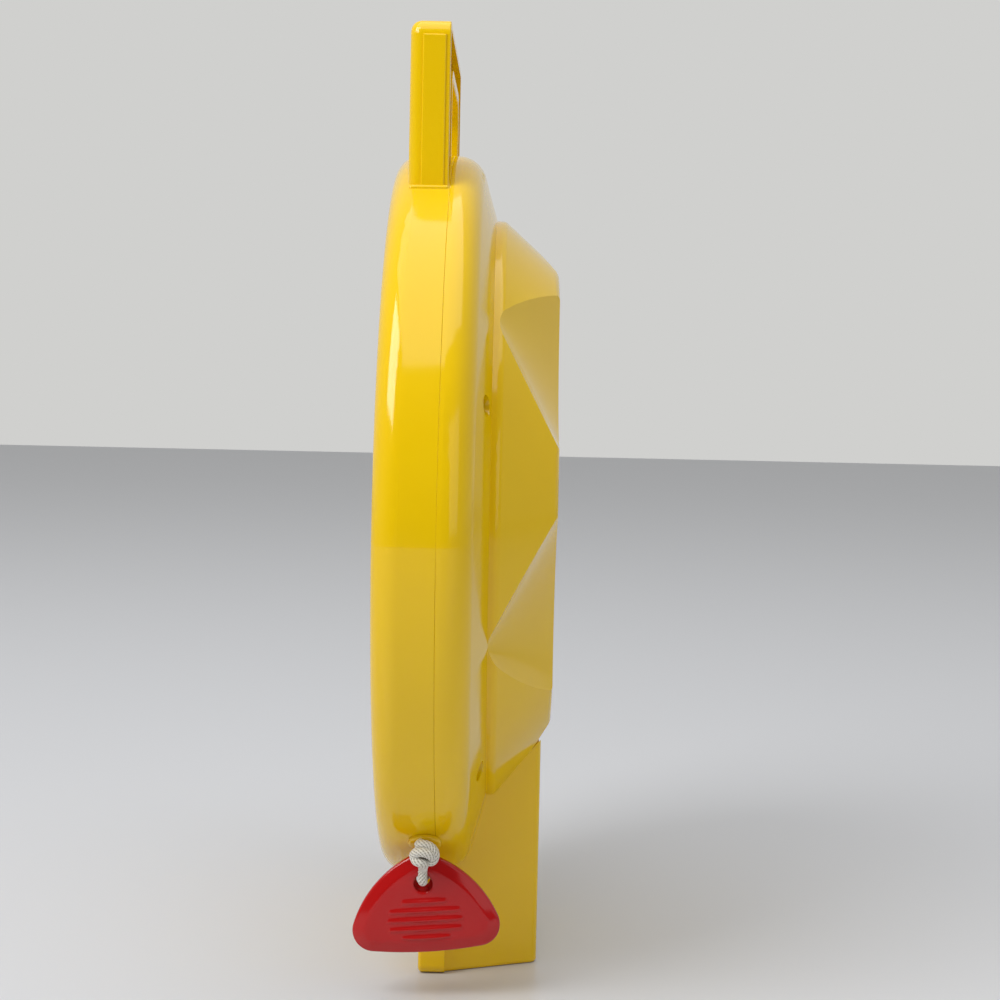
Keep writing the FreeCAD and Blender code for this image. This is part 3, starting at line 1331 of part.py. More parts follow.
NODES = {
    "front_shell": front_shell,
    "back_shell": back_shell,
    "case_screws": case_screws,
    "picture_disc": picture_disc,
    "pointer": pointer,
    "pointer_cap": pointer_cap,
    "selector_shaft": selector_shaft,
    "selector_wheel": selector_wheel,
    "shaft_clip": shaft_clip,
    "detent_spring": detent_spring,
    "detent_screw": detent_screw,
    "chassis_plate": chassis_plate,
    "chassis_screws": chassis_screws,
    "spring_cup": spring_cup,
    "mainspring": mainspring,
    "bearing_bush": bearing_bush,
    "spindle": spindle,
    "string_spool": string_spool,
    "string_winding": string_winding,
    "turntable": turntable,
    "record_disc": record_disc,
    "record_clip": record_clip,
    "drive_belt": drive_belt,
    "governor_shaft": governor_shaft,
    "governor_pulley": governor_pulley,
    "governor_spring": governor_spring,
    "governor_weights": governor_weights,
    "governor_cup": governor_cup,
    "tone_arm": tone_arm,
    "stylus": stylus,
    "tone_arm_pin": tone_arm_pin,
    "arm_clip": arm_clip,
    "arm_spring": arm_spring,
    "speaker_cone": speaker_cone,
    "sound_bar": sound_bar,
    "speaker_frame": speaker_frame,
    "speaker_screws": speaker_screws,
    "string_bushing": string_bushing,
    "string_run": string_run,
    "string_knot": string_knot,
    "string_strand": string_strand,
    "string_end_knot": string_end_knot,
    "pull_tab": pull_tab,
}

os.makedirs("parts", exist_ok=True)
for name, make in NODES.items():
    shape = make()
    box = shape.BoundBox
    print(f"{name:18s} solids {len(shape.Solids)} valid {shape.isValid()} volume {shape.Volume:10.1f} "
          f"x {box.XMin:.1f} {box.XMax:.1f} y {box.YMin:.1f} {box.YMax:.1f} z {box.ZMin:.1f} {box.ZMax:.1f}")
    shape.exportStep("parts/" + name + ".step")
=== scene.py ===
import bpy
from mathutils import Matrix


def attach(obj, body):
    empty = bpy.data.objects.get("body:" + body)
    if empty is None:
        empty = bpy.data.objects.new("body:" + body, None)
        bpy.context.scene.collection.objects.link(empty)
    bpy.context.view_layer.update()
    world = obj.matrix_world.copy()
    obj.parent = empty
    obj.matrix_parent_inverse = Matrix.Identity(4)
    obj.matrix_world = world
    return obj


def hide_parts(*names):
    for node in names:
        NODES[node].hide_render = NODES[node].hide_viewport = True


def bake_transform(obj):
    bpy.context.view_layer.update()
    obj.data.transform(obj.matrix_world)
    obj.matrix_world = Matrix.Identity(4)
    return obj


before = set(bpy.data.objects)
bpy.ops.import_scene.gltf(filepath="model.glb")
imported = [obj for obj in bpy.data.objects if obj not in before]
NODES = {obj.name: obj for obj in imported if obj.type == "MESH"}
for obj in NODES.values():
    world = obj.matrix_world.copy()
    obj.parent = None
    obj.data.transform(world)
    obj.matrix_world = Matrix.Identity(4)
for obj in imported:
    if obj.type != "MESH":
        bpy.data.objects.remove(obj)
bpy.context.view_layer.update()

import bpy
import bmesh
import math
from mathutils import Matrix, Vector

MM = 0.001

# Height of the disc's axis, in metres
DISC_Z = 0.1385


def colour(hex_code):
    """Linear RGBA from an sRGB hex colour."""
    channels = [int(hex_code[i:i + 2], 16) / 255 for i in (0, 2, 4)]
    return [c / 12.92 if c <= 0.04045 else ((c + 0.055) / 1.055) ** 2.4 for c in channels] + [1.0]


def node(tree, kind, inputs=None, **settings):
    """Adds a shader node; inputs maps a socket name or number to a value or to another node's output."""
    made = tree.nodes.new(kind)
    for name, value in settings.items():
        setattr(made, name, value)
    for name, value in (inputs or {}).items():
        socket = made.inputs[name]
        if isinstance(value, bpy.types.NodeSocket):
            tree.links.new(value, socket)
        else:
            socket.default_value = value
    return made


def ramp(tree, factor, stops):
    """Colour ramp whose stops are (position, linear colour)."""
    made = node(tree, "ShaderNodeValToRGB", {"Fac": factor})
    elements = made.color_ramp.elements
    while len(elements) < len(stops):
        elements.new(0.5)
    for element, (position, value) in zip(elements, stops):
        element.position = position
        element.color = value
    return made.outputs["Color"]


def grey(level):
    return [level, level, level, 1.0]


def shader(name, **sockets):
    """New material and its tree, with the Principled shader's own sockets set."""
    material = bpy.data.materials.new(name)
    material.use_nodes = True
    tree = material.node_tree
    surface = tree.nodes["Principled BSDF"]
    for key, value in sockets.items():
        surface.inputs[key.replace("_", " ")].default_value = value
    place = node(tree, "ShaderNodeTexCoord").outputs["Object"]
    return material, tree, surface, place


def noise(tree, place, size_mm, detail=2.0, rough=0.5):
    """Noise whose lumps are about size_mm across."""
    return node(tree, "ShaderNodeTexNoise", {
        "Vector": place, "Scale": 1000 / size_mm, "Detail": detail, "Roughness": rough}).outputs["Fac"]


def calc(tree, operation, first, second=0.0):
    """One step of arithmetic on shader values."""
    return node(tree, "ShaderNodeMath", {0: first, 1: second}, operation=operation).outputs[0]


def stretch(tree, place, scale):
    return node(tree, "ShaderNodeVectorMath", {0: place, 1: scale}, operation="MULTIPLY").outputs[0]


def mixed(tree, factor, first, second, **settings):
    """Mix of two colours, each a linear colour or another node's output."""
    return node(tree, "ShaderNodeMix", {"Factor": factor, 6: first, 7: second},
                data_type="RGBA", **settings).outputs[2]


def steps_of_colour(tree, factor, stops):
    """Colour ramp that jumps from one colour to the next, without blending."""
    result = ramp(tree, factor, stops)
    result.node.color_ramp.interpolation = "CONSTANT"
    return result


def paint_with(tree, surface, paint):
    tree.links.new(paint, surface.inputs["Base Color"])


def vary_gloss(tree, surface, value, low, high, start=0.0, end=1.0):
    """Roughness from low to high as the value goes from start to end."""
    level = node(tree, "ShaderNodeMapRange", {
        "Value": value, "From Min": start, "From Max": end, "To Min": low, "To Max": high})
    tree.links.new(level.outputs["Result"], surface.inputs["Roughness"])


def emboss(tree, surface, height, strength, depth_mm):
    """Fine relief on the surface."""
    bump = node(tree, "ShaderNodeBump", {"Height": height, "Strength": strength, "Distance": depth_mm * MM})
    tree.links.new(bump.outputs["Normal"], surface.inputs["Normal"])


# Moulded plastic: spread of its cloudy tone and of its rub marks, in millimetres
CLOUD_MM = 34
RUB_MM = 9


def moulded(name, light, dark, gloss=0.14, peel_mm=1.6, peel=0.05, subsurface=0.12):
    """Injection-moulded ABS straight from a polished mould: deep colour under a high gloss.

    The gloss is broken by faint flow waves and by the fine rub marks that handling leaves."""
    material, tree, surface, place = shader(
        name, IOR=1.5, Subsurface_Weight=subsurface, Subsurface_Radius=(1.0, 0.45, 0.08),
        Subsurface_Scale=1.5 * MM)
    cloud = noise(tree, place, CLOUD_MM, 3)
    paint_with(tree, surface, mixed(tree, cloud, colour(light), colour(dark)))
    vary_gloss(tree, surface, noise(tree, place, RUB_MM, 6, 0.72), gloss * 0.75, gloss * 1.6, 0.3, 0.75)
    emboss(tree, surface, noise(tree, place, peel_mm, 1), peel, 0.05)
    return material


def dress(material, *names):
    """Gives CAD nodes their material."""
    for name in names:
        for slot in NODES[name].material_slots:
            slot.material = material


# Camera, at the photograph's viewpoint: level with the dome, square to the rim and tipped down a little
CAMERA_PLACE = (0.640, 0.01937, 0.19147)
CAMERA_YAW = 0.00455
CAMERA_PITCH = -0.07524
CAMERA_ROLL = 0.02128
CAMERA_SENSOR_MM = 36
CAMERA_LENS_MM = 70.77


def add_camera():
    data = bpy.data.cameras.new("camera")
    data.sensor_width = CAMERA_SENSOR_MM
    data.lens = CAMERA_LENS_MM
    camera = bpy.data.objects.new("camera", data)
    looking = Matrix(((0, 0, 1), (1, 0, 0), (0, 1, 0)))
    turn = (Matrix.Rotation(CAMERA_YAW, 3, "Z") @ looking @ Matrix.Rotation(CAMERA_PITCH, 3, "X")
            @ Matrix.Rotation(CAMERA_ROLL, 3, "Z"))
    camera.matrix_world = Matrix.Translation(CAMERA_PLACE) @ turn.to_4x4()
    bpy.context.scene.collection.objects.link(camera)
    bpy.context.scene.camera = camera


def add_lamp(name, place, target, size, power):
    """Square white lamp; metres and watts."""
    data = bpy.data.lights.new(name, "AREA")
    data.shape = "RECTANGLE"
    data.size = data.size_y = size
    data.energy = power
    lamp = bpy.data.objects.new(name, data)
    lamp.location = place
    lamp.rotation_euler = (Vector(target) - Vector(place)).to_track_quat("-Z", "Y").to_euler()
    bpy.context.scene.collection.objects.link(lamp)


# The room: walls pale behind the toy and dark behind the camera, the light they give, and a pale table
WALL_PALE = "D0D0CE"
WALL_DARK = "48484A"
ROOM_LIGHT = "97989A"
TABLE_TONE = "D2D3D6"
TABLE_HALF_WIDTH = 3
# Lamps: name, place, target, size in metres and power in watts
LAMPS = (
    ("window", (0.75, -0.95, 1.25), (0, 0, 0.16), 0.9, 17),
    ("ceiling", (0.15, 0.1, 1.6), (0, 0, 0.12), 1.6, 12),
    ("side_fill", (1.1, 0.9, 0.5), (0, 0, 0.1), 0.8, 1.5),
)


def add_room():
    """Pale table top, a soft room light and the lamps that draw the long highlights."""
    scene = bpy.context.scene
    scene.view_settings.view_transform = "Standard"
    world = bpy.data.worlds.new("room")
    scene.world = world
    world.use_nodes = True
    tree = world.node_tree
    background = tree.nodes["Background"]
    rays = node(tree, "ShaderNodeLightPath").outputs
    seen = calc(tree, "MAXIMUM", rays["Is Camera Ray"], rays["Is Glossy Ray"])
    seen = calc(tree, "MAXIMUM", seen, rays["Is Transmission Ray"])
    way = node(tree, "ShaderNodeSeparateXYZ", {0: node(tree, "ShaderNodeTexCoord").outputs["Generated"]})
    share = node(tree, "ShaderNodeMapRange", {"Value": way.outputs["X"], "From Min": -0.6, "From Max": 0.9})
    wall = ramp(tree, share.outputs["Result"], ((0.0, colour(WALL_PALE)), (1.0, colour(WALL_DARK))))
    tree.links.new(mixed(tree, seen, colour(ROOM_LIGHT), wall), background.inputs["Color"])
    background.inputs["Strength"].default_value = 1.0
    mesh = bpy.data.meshes.new("table_top")
    far = TABLE_HALF_WIDTH
    mesh.from_pydata([(-far, -far, 0), (far, -far, 0), (far, far, 0), (-far, far, 0)], [], [(0, 1, 2, 3)])
    table = bpy.data.objects.new("table_top", mesh)
    scene.collection.objects.link(table)
    material, _, surface, _ = shader("table_laminate", Roughness=0.35, IOR=1.5)
    surface.inputs["Base Color"].default_value = colour(TABLE_TONE)
    mesh.materials.append(material)
    for lamp in LAMPS:
        add_lamp(*lamp)


def link(name, mesh, body, *materials):
    """Puts a finished mesh in the scene on the CAD body that carries it."""
    for material in materials:
        mesh.materials.append(material)
    piece = bpy.data.objects.new(name, mesh)
    bpy.context.scene.collection.objects.link(piece)
    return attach(piece, body) if body else piece


def mesh_of(name, points, faces, smooth=True):
    """Closed mesh with its faces turned outwards."""
    mesh = bpy.data.meshes.new(name)
    mesh.from_pydata(points, [], faces)
    work = bmesh.new()
    work.from_mesh(mesh)
    bmesh.ops.recalc_face_normals(work, faces=work.faces)
    work.to_mesh(mesh)
    work.free()
    if smooth:
        mesh.shade_smooth()
    else:
        mesh.shade_flat()
    return mesh


def ring_faces(rows, around):
    """Quads between closed rows of points, each row with the same count."""
    faces = []
    for r in range(rows - 1):
        for i in range(around):
            j = (i + 1) % around
            faces.append((r * around + i, r * around + j, (r + 1) * around + j, (r + 1) * around + i))
    return faces


def tube_faces(rows, around):
    """Faces of a tube with both ends closed."""
    faces = ring_faces(rows, around)
    faces.append(tuple(range(around)))
    faces.append(tuple((rows - 1) * around + k for k in range(around)))
    return faces


# Pull string: a round braid of polyester, 2.8 mm thick, with a knot on each side of the tab
STRING_RADIUS = 1.4 * MM
CURVE_STEPS = 24
BRAID_YARNS = 7
BRAID_PITCH = 1.05 * MM
BRAID_RELIEF = 0.28 * MM
CUT_END_SHARE = 0.6


def smooth_line(points, step):
    """Points at an even step along the NURBS spline of the control points."""
    curve = bpy.data.curves.new("line", "CURVE")
    curve.dimensions = "3D"
    curve.resolution_u = CURVE_STEPS
    spline = curve.splines.new("NURBS")
    spline.points.add(len(points) - 1)
    for point, place in zip(spline.points, points):
        point.co = (*place, 1)
    spline.order_u = 3
    spline.use_endpoint_u = True
    holder = bpy.data.objects.new("line", curve)
    line = [v.co.copy() for v in bpy.data.meshes.new_from_object(holder).vertices]
    bpy.data.objects.remove(holder)
    total = sum((b - a).length for a, b in zip(line, line[1:]))
    count = max(2, round(total / step))
    even = [line[0]]
    left = total / count
    for a, b in zip(line, line[1:]):
        span = (b - a).length
        done = 0.0
        while span - done >= left and len(even) < count:
            done += left
            even.append(a.lerp(b, done / span))
            left = total / count
        left -= span - done
    return even + [line[-1]]


def braided(name, points, step=0.13 * MM, around=56, radius=STRING_RADIUS):
    """Mesh of a braided cord: two sets of yarns wind both ways and pass over and under each other."""
    line = smooth_line(points, step)
    rows = []
    depths = []
    ahead = (line[1] - line[0]).normalized()
    side = ahead.orthogonal().normalized()
    along = 0.0
    for i, here in enumerate(line):
        after = line[min(i + 1, len(line) - 1)] - line[max(i - 1, 0)]
        side = (side - after.normalized() * side.dot(after.normalized())).normalized()
        across = after.normalized().cross(side)
        if i:
            along += (here - line[i - 1]).length
        for k in range(around):
            turn = math.tau * k / around
            left_yarn = BRAID_YARNS * turn / math.tau + along / BRAID_PITCH
            right_yarn = BRAID_YARNS * turn / math.tau - along / BRAID_PITCH
            over = math.cos(math.pi * left_yarn) ** 2 * (0.7 + 0.3 * math.cos(math.tau * right_yarn))
            under = math.cos(math.pi * right_yarn) ** 2 * (0.7 - 0.3 * math.cos(math.tau * left_yarn))
            depths.append(1 - max(over, under))
            size = radius - BRAID_RELIEF * depths[-1]
            if i in (0, len(line) - 1):
                size *= CUT_END_SHARE
            rows.append(here + (side * math.cos(turn) + across * math.sin(turn)) * size)
    mesh = mesh_of(name, rows, tube_faces(len(line), around))
    mesh.attributes.new("yarn_depth", "FLOAT", "POINT").data.foreach_set("value", depths)
    return mesh


# The route of the string, in metres: the bush's mouth in the rim, the knot under it and the tab's hole
MOUTH = Vector((0.07086, -0.0032, 0.04615))
EXIT = Vector((0.60876, 0, -0.79335))
KNOT = Vector((0.07686, -0.0028, 0.04540))
PIVOT = Vector((0.07056, -0.0035, 0.036454))
HOLE = Vector((0.07056, -0.0035, 0.035204))
KNOT_TURNS = (
    (-3.4, -1.2, 2.4), (-0.6, -2.0, 2.3), (1.3, -1.2, 2.9), (1.6, 1.4, 2.7), (1.5, 3.1, 0.6),
    (1.2, 2.6, -2.0), (-0.2, 0.8, -2.6), (-1.4, -1.6, -1.9), (-0.2, -3.6, -1.1), (2.0, -2.9, 0.4),
    (3.1, -0.9, 1.2),
    (3.1, 1.3, 0.5), (1.6, 2.4, -0.9), (-0.8, 1.6, 0.2), (-1.8, -0.6, 0.9), (-0.8, -2.8, 0.2),
    (1.2, -3.2, -1.6), (2.4, -1.8, -2.2), (1.9, -0.4, -2.6), (0.9, -0.2, -3.3),
)


BACK_KNOT_TURNS = (
    (1.2, 0, 0), (-0.2, 1.0, 0.7), (-1.3, 0.9, -0.9), (-1.5, -0.9, -1.1), (-1.0, -1.3, 0.8),
    (-0.3, 0.4, 1.4), (-0.2, 1.4, -0.3), (-0.6, 0.1, -1.4), (-1.4, -0.9, -0.1), (-2.0, 0.0, 0.3),
)
SPOOL_Y = -0.0032
COIL_TURNS = 3
COIL_POINTS = 16
COIL_INNER_MM = 10.5
COIL_GROWTH_MM = 6.0


def near(centre, steps):
    return [centre + Vector(step) * MM for step in steps]


def pull_string(cloth):
    """The string from the spool through the rim, its stopper knot, its loop in the tab and its end knot."""
    inside = [Vector((0.0065, SPOOL_Y, 0.1215)), Vector((0.0400, SPOOL_Y, 0.0880)),
              MOUTH - EXIT * 0.018, MOUTH - EXIT * 0.010, MOUTH - EXIT * 0.003]
    run = link("string_inside", braided("string_inside", inside, 0.3 * MM, 32), "casing", cloth)
    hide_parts("string_run")
    lead_points = [MOUTH - EXIT * 0.0045, MOUTH - EXIT * 0.0015, MOUTH + EXIT * 0.0008]
    lead_points += near(KNOT, KNOT_TURNS[:2])
    lead = link("string_lead", braided("string_lead", lead_points, 0.06 * MM), None, cloth)
    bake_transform(lead)
    knot = link("string_stopper_knot", braided("string_stopper_knot", near(KNOT, KNOT_TURNS)), "pull", cloth)
    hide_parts("string_knot")
    front = PIVOT.x + 0.0042
    drop = near(KNOT, KNOT_TURNS[-3:]) + [
        Vector((front, PIVOT.y, 0.0405)), Vector((front, PIVOT.y, 0.0380)),
        Vector((front - 0.0004, PIVOT.y, 0.0362)), Vector((front - 0.0026, PIVOT.y, 0.0358)),
        Vector((PIVOT.x - 0.001, PIVOT.y, 0.0362)), Vector((PIVOT.x - 0.0035, PIVOT.y, 0.0364))]
    strand = link("string_tab_loop", braided("string_tab_loop", drop), "pull", cloth)
    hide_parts("string_strand")
    behind = Vector((PIVOT.x - 0.0045, PIVOT.y, PIVOT.z))
    back = braided("string_back_knot", near(behind, BACK_KNOT_TURNS), radius=1.2 * MM)
    end = link("string_back_knot", back, "pull", cloth)
    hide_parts("string_end_knot")
    coil = []
    for i in range(COIL_TURNS * COIL_POINTS + 1):
        turn = math.tau * i / COIL_POINTS
        radius = (COIL_INNER_MM + COIL_GROWTH_MM * i / (COIL_TURNS * COIL_POINTS)) * MM
        coil.append(Vector((radius * math.cos(turn), SPOOL_Y, DISC_Z + radius * math.sin(turn))))
    reel = link("string_on_spool", braided("string_on_spool", coil, 0.45 * MM, 24), "rotor", cloth)
    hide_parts("string_winding")


# Finger tab: a rounded triangle of six tangent arcs about its hole, in millimetres
TAB_APEX_RISE, TAB_HEIGHT, TAB_HALF_WIDTH = 8.6, 29.4, 21.8
TAB_APEX_RADIUS, TAB_SIDE_RADIUS, TAB_CORNER_RADIUS, TAB_BASE_RADIUS = 8.6, 34.0, 6.4, 128.0
TAB_HOLE_RADIUS = 2.7
TAB_TILT = 4.5
TAB_STRING_RISE = 1.0
TAB_RIBS = ((5.4, 6.6), (8.1, 10.6), (10.8, 11.2), (13.5, 10.8), (16.2, 7.2))
TAB_RIB_HEIGHT = TAB_RIB_WIDTH = 0.62
# Its section, as steps of inset from the outline and half-thickness, and the lip and web of its hole
TAB_FACE = 2.42
TAB_CROWN = 0.06
TAB_PROFILE = ((0, 0), (0, 0.7), (0.14, 1.02), (0.45, 1.24), (0.9, 1.42), (1.8, 1.76), (2.7, 2.1),
               (3.2, 2.27), (3.7, 2.37), (4.3, TAB_FACE))
TAB_FACE_ROWS = 46
TAB_LIP = ((0.3, 2.38), (0.1, 2.22), (0.0, 1.95), (0.0, 0.45))
TAB_WEB = ((2.15, 0.4), (2.0, 0.25), (2.0, 0.0))


def tab_arcs():
    """Centre, radius and the outward directions at both ends of each of the six arcs."""
    base = TAB_APEX_RISE - TAB_HEIGHT
    corner = (TAB_HALF_WIDTH - TAB_CORNER_RADIUS, base + TAB_CORNER_RADIUS + 0.9)
    apex = Vector((0, TAB_APEX_RISE - TAB_APEX_RADIUS))
    right, left = Vector(corner), Vector((-corner[0], corner[1]))
    ends = ((apex, TAB_APEX_RADIUS, right, TAB_CORNER_RADIUS, TAB_SIDE_RADIUS),
            (right, TAB_CORNER_RADIUS, left, TAB_CORNER_RADIUS, TAB_BASE_RADIUS),
            (left, TAB_CORNER_RADIUS, apex, TAB_APEX_RADIUS, TAB_SIDE_RADIUS))
    wraps = []
    for a, radius_a, b, radius_b, radius in ends:
        gap = b - a
        reach_a, reach_b = radius - radius_a, radius - radius_b
        along = (reach_a ** 2 - reach_b ** 2 + gap.length ** 2) / (2 * gap.length)
        across = math.sqrt(reach_a ** 2 - along ** 2)
        unit = gap.normalized()
        centre = a + unit * along + Vector((unit.y, -unit.x)) * across
        wraps.append((centre, radius, (a - centre).normalized(), (b - centre).normalized()))
    arcs = []
    for i, (centre, radius) in enumerate(((apex, TAB_APEX_RADIUS), (right, TAB_CORNER_RADIUS),
                                          (left, TAB_CORNER_RADIUS))):
        arcs.append((centre, radius, wraps[i - 1][3], wraps[i][2]))
        arcs.append(wraps[i])
    return arcs


def tab_edge():
    """Centre, radius and direction of evenly spread points round the outline."""
    edge = []
    for centre, radius, first, last in tab_arcs():
        start = math.atan2(first.y, first.x)
        sweep = (math.atan2(last.y, last.x) - start) % -math.tau
        steps = max(6, round(abs(sweep) * radius / 0.26))
        for k in range(steps):
            turn = start + sweep * k / steps
            edge.append((centre, radius, Vector((math.cos(turn), math.sin(turn)))))
    return edge


def rib_height(u, v):
    """Low lens-shaped grip ribs under the hole."""
    height = 0.0
    for drop, half in TAB_RIBS:
        if abs(u) < half:
            crown = math.sqrt(1 - (u / half) ** 2)
            height += TAB_RIB_HEIGHT * crown ** 0.8 * math.exp(-((v + drop) / TAB_RIB_WIDTH) ** 2)
    return height


def finger_tab(plastic):
    """The pull tab: bevelled edge, gently crowned faces with ribs, and a hole with a thin web in it."""
    edge = tab_edge()
    count = len(edge)
    rows = []
    for inset, height in TAB_PROFILE:
        rows.append([(*(centre + way * (radius - inset)), height) for centre, radius, way in edge])
    inner = [Vector(point[:2]) for point in rows[-1]]
    for k in range(1, TAB_FACE_ROWS + 1):
        row = []
        for point in inner:
            rim = point.normalized() * (TAB_HOLE_RADIUS + 0.55)
            here = point.lerp(rim, k / TAB_FACE_ROWS)
            crown = TAB_FACE + TAB_CROWN * math.sin(math.pi * k / TAB_FACE_ROWS)
            row.append((here.x, here.y, crown + rib_height(here.x, here.y)))
        rows.append(row)
    ways = [point.normalized() for point in inner]
    for radius, height in TAB_LIP:
        rows.append([(*(way * (TAB_HOLE_RADIUS + radius)), height) for way in ways])
    for radius, height in TAB_WEB:
        rows.append([(way.x * radius, way.y * radius + TAB_STRING_RISE, height) for way in ways])
    points = [point for row in rows for point in row]
    points += [(u, v, -height) for u, v, height in points]
    half = len(rows) * count
    faces = ring_faces(len(rows), count)
    faces += [tuple(half + i for i in face) for face in faces]
    work = bmesh.new()
    tilt = Matrix.Translation(PIVOT) @ Matrix.Rotation(math.radians(TAB_TILT), 4, "X")
    down = HOLE - PIVOT
    made = [work.verts.new(tilt @ (Vector((height, u, v)) * MM + down)) for u, v, height in points]
    for face in faces:
        work.faces.new([made[i] for i in face])
    bmesh.ops.remove_doubles(work, verts=work.verts, dist=0.001 * MM)
    bmesh.ops.recalc_face_normals(work, faces=work.faces)
    mesh = bpy.data.meshes.new("finger_tab")
    work.to_mesh(mesh)
    work.free()
    mesh.shade_smooth()
    tab = link("finger_tab", mesh, "tab", plastic)
    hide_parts("pull_tab")


BEAD_RADIUS = 1.0 * MM
BEAD_STEP = 0.4 * MM
BEAD_AROUND = 20
BEAD_FRONT_MM = -12.2
BEAD_LENGTH_MM = 12


def handle_root_beads(plastic):
    """Rounded bead of plastic where each side of the handle meets the top of the rim."""
    shell = NODES["front_shell"]
    for side, name in ((1, "handle_root_right"), (-1, "handle_root_left")):
        _, face, _, _ = shell.ray_cast(Vector((side * 0.08, -6 * MM, 0.265)), Vector((-side, 0, 0)))
        route = []
        for k in range(BEAD_LENGTH_MM + 1):
            y = (BEAD_FRONT_MM + k) * MM
            _, spot, _, _ = shell.ray_cast(Vector((face.x + side * 0.5 * MM, y, 0.3)), Vector((0, 0, -1)))
            route.append(Vector((face.x - side * 0.1 * MM, y, spot.z + 0.05 * MM)))
        line = smooth_line(route, BEAD_STEP)
        rows = []
        for i, here in enumerate(line):
            ends = min(i, len(line) - 1 - i) * BEAD_STEP
            size = BEAD_RADIUS * math.sqrt(max(0.02, 1 - max(0.0, 1 - ends / BEAD_RADIUS) ** 2))
            ahead = (line[min(i + 1, len(line) - 1)] - line[max(i - 1, 0)]).normalized()
            across = ahead.cross(Vector((1, 0, 0))).normalized()
            out = across.cross(ahead)
            for k in range(BEAD_AROUND):
                turn = math.tau * k / BEAD_AROUND
                rows.append(here + (across * math.cos(turn) + out * math.sin(turn)) * size)
        link(name, mesh_of(name, rows, tube_faces(len(line), BEAD_AROUND)), "casing", plastic)


def braid_cloth():
    """Braided polyester: off-white yarn, each yarn a bundle of fine bright fibres with a soft sheen, and
    painted shade in the hollows between the yarns.
    """
    material, tree, surface, place = shader(
        "braided_polyester", Roughness=0.62, IOR=1.5, Sheen_Weight=0.35, Sheen_Roughness=0.45,
        Subsurface_Weight=0.15, Subsurface_Radius=(1.0, 0.9, 0.8), Subsurface_Scale=0.8 * MM)
    fibre = noise(tree, place, 0.22, 4, 0.7)
    tint = ramp(tree, fibre, ((0.3, colour("D2CCBE")), (0.62, colour("F1EEE4"))))
    depth = node(tree, "ShaderNodeAttribute", attribute_name="yarn_depth").outputs["Fac"]
    # Painted shade: the colour darkens where the yarns sink under each other, and the deeper the hollow, the
    # darker it is.
    painted_gap_shade = ramp(tree, depth, ((0.35, grey(1.0)), (0.95, colour("A8A294"))))
    paint_with(tree, surface, mixed(tree, 1.0, tint, painted_gap_shade, blend_type="MULTIPLY"))
    emboss(tree, surface, fibre, 0.5, 0.06)
    return material


def metal(name, light, dark, rough, patch_mm):
    """Bare or plated metal: patches of tone, fine scratches in the roughness and a faint surface waviness."""
    material, tree, surface, place = shader(name, Metallic=1.0)
    patches = noise(tree, place, patch_mm, 4, 0.6)
    paint_with(tree, surface, ramp(tree, patches, ((0.35, colour(dark)), (0.65, colour(light)))))
    scratch = noise(tree, stretch(tree, place, (1, 1, 9)), 1.4, 5, 0.7)
    vary_gloss(tree, surface, scratch, rough * 0.7, rough * 1.5, 0.3, 0.7)
    emboss(tree, surface, scratch, 0.2, 0.02)
    return material


def rubber(name, dark, light):
    """Dull moulded rubber with a bloom of pale dust."""
    material, tree, surface, place = shader(name, IOR=1.52)
    bloom = noise(tree, place, 2.5, 6, 0.7)
    paint_with(tree, surface, ramp(tree, bloom, ((0.4, colour(dark)), (0.75, colour(light)))))
    vary_gloss(tree, surface, bloom, 0.55, 0.85)
    emboss(tree, surface, bloom, 0.3, 0.04)
    return material


def polar(tree, place, height):
    """Distance from the axis through the disc at this height, and the angle round it from -pi to pi."""
    parts = node(tree, "ShaderNodeSeparateXYZ", {0: place})
    up = calc(tree, "SUBTRACT", parts.outputs["Z"], height)
    flat = node(tree, "ShaderNodeCombineXYZ", {"X": parts.outputs["X"], "Y": up})
    radius = node(tree, "ShaderNodeVectorMath", {0: flat.outputs[0]}, operation="LENGTH").outputs["Value"]
    return radius, calc(tree, "ARCTAN2", parts.outputs["X"], up)


GROOVE_PITCH = 0.5 * MM


def pressed_record():
    """Black pressed styrene record with fine concentric grooves."""
    material, tree, surface, place = shader("pressed_black_styrene", IOR=1.59)
    radius, _ = polar(tree, place, DISC_Z)
    wave = calc(tree, "SINE", calc(tree, "MULTIPLY", radius, math.tau / GROOVE_PITCH))
    dust = noise(tree, place, 1.8, 5, 0.65)
    paint_with(tree, surface, ramp(tree, dust, ((0.45, colour("141416")), (0.8, colour("25252A")))))
    vary_gloss(tree, surface, dust, 0.14, 0.34)
    emboss(tree, surface, wave, 0.6, 0.04)
    return material


def pulp_cone():
    """Grey-black moulded paper pulp with short felted fibres."""
    material, tree, surface, place = shader("moulded_paper_pulp", Roughness=0.86, IOR=1.5, Sheen_Weight=0.2)
    fibre = noise(tree, stretch(tree, place, (1, 3, 0.4)), 0.9, 6, 0.75)
    paint_with(tree, surface, ramp(tree, fibre, ((0.35, colour("26241F")), (0.7, colour("4A463D")))))
    emboss(tree, surface, fibre, 0.6, 0.12)
    return material


# The card: colours of its fields round the disc, in order, and the rings of its centre in millimetres
FIELDS = ("E8573F", "F4C21F", "5FB56A", "4FA3D9", "F08A2C", "9C7BC9",
          "E86A8A", "F6D34A", "4DB9A8", "5B8FDB", "F0A03A", "86BF4A")
CARD_WHITE = "F6F3EA"
CENTRE_SPAN = 45
CENTRE_RINGS = ((0, "F4C21F"), (13, CARD_WHITE), (15, "7FC4E8"), (41, CARD_WHITE))
CENTRE_EDGE = 42.6 * MM
FIELD_LINE_HALF = 1.1 * MM
MOTIF_RADIUS = 67 * MM


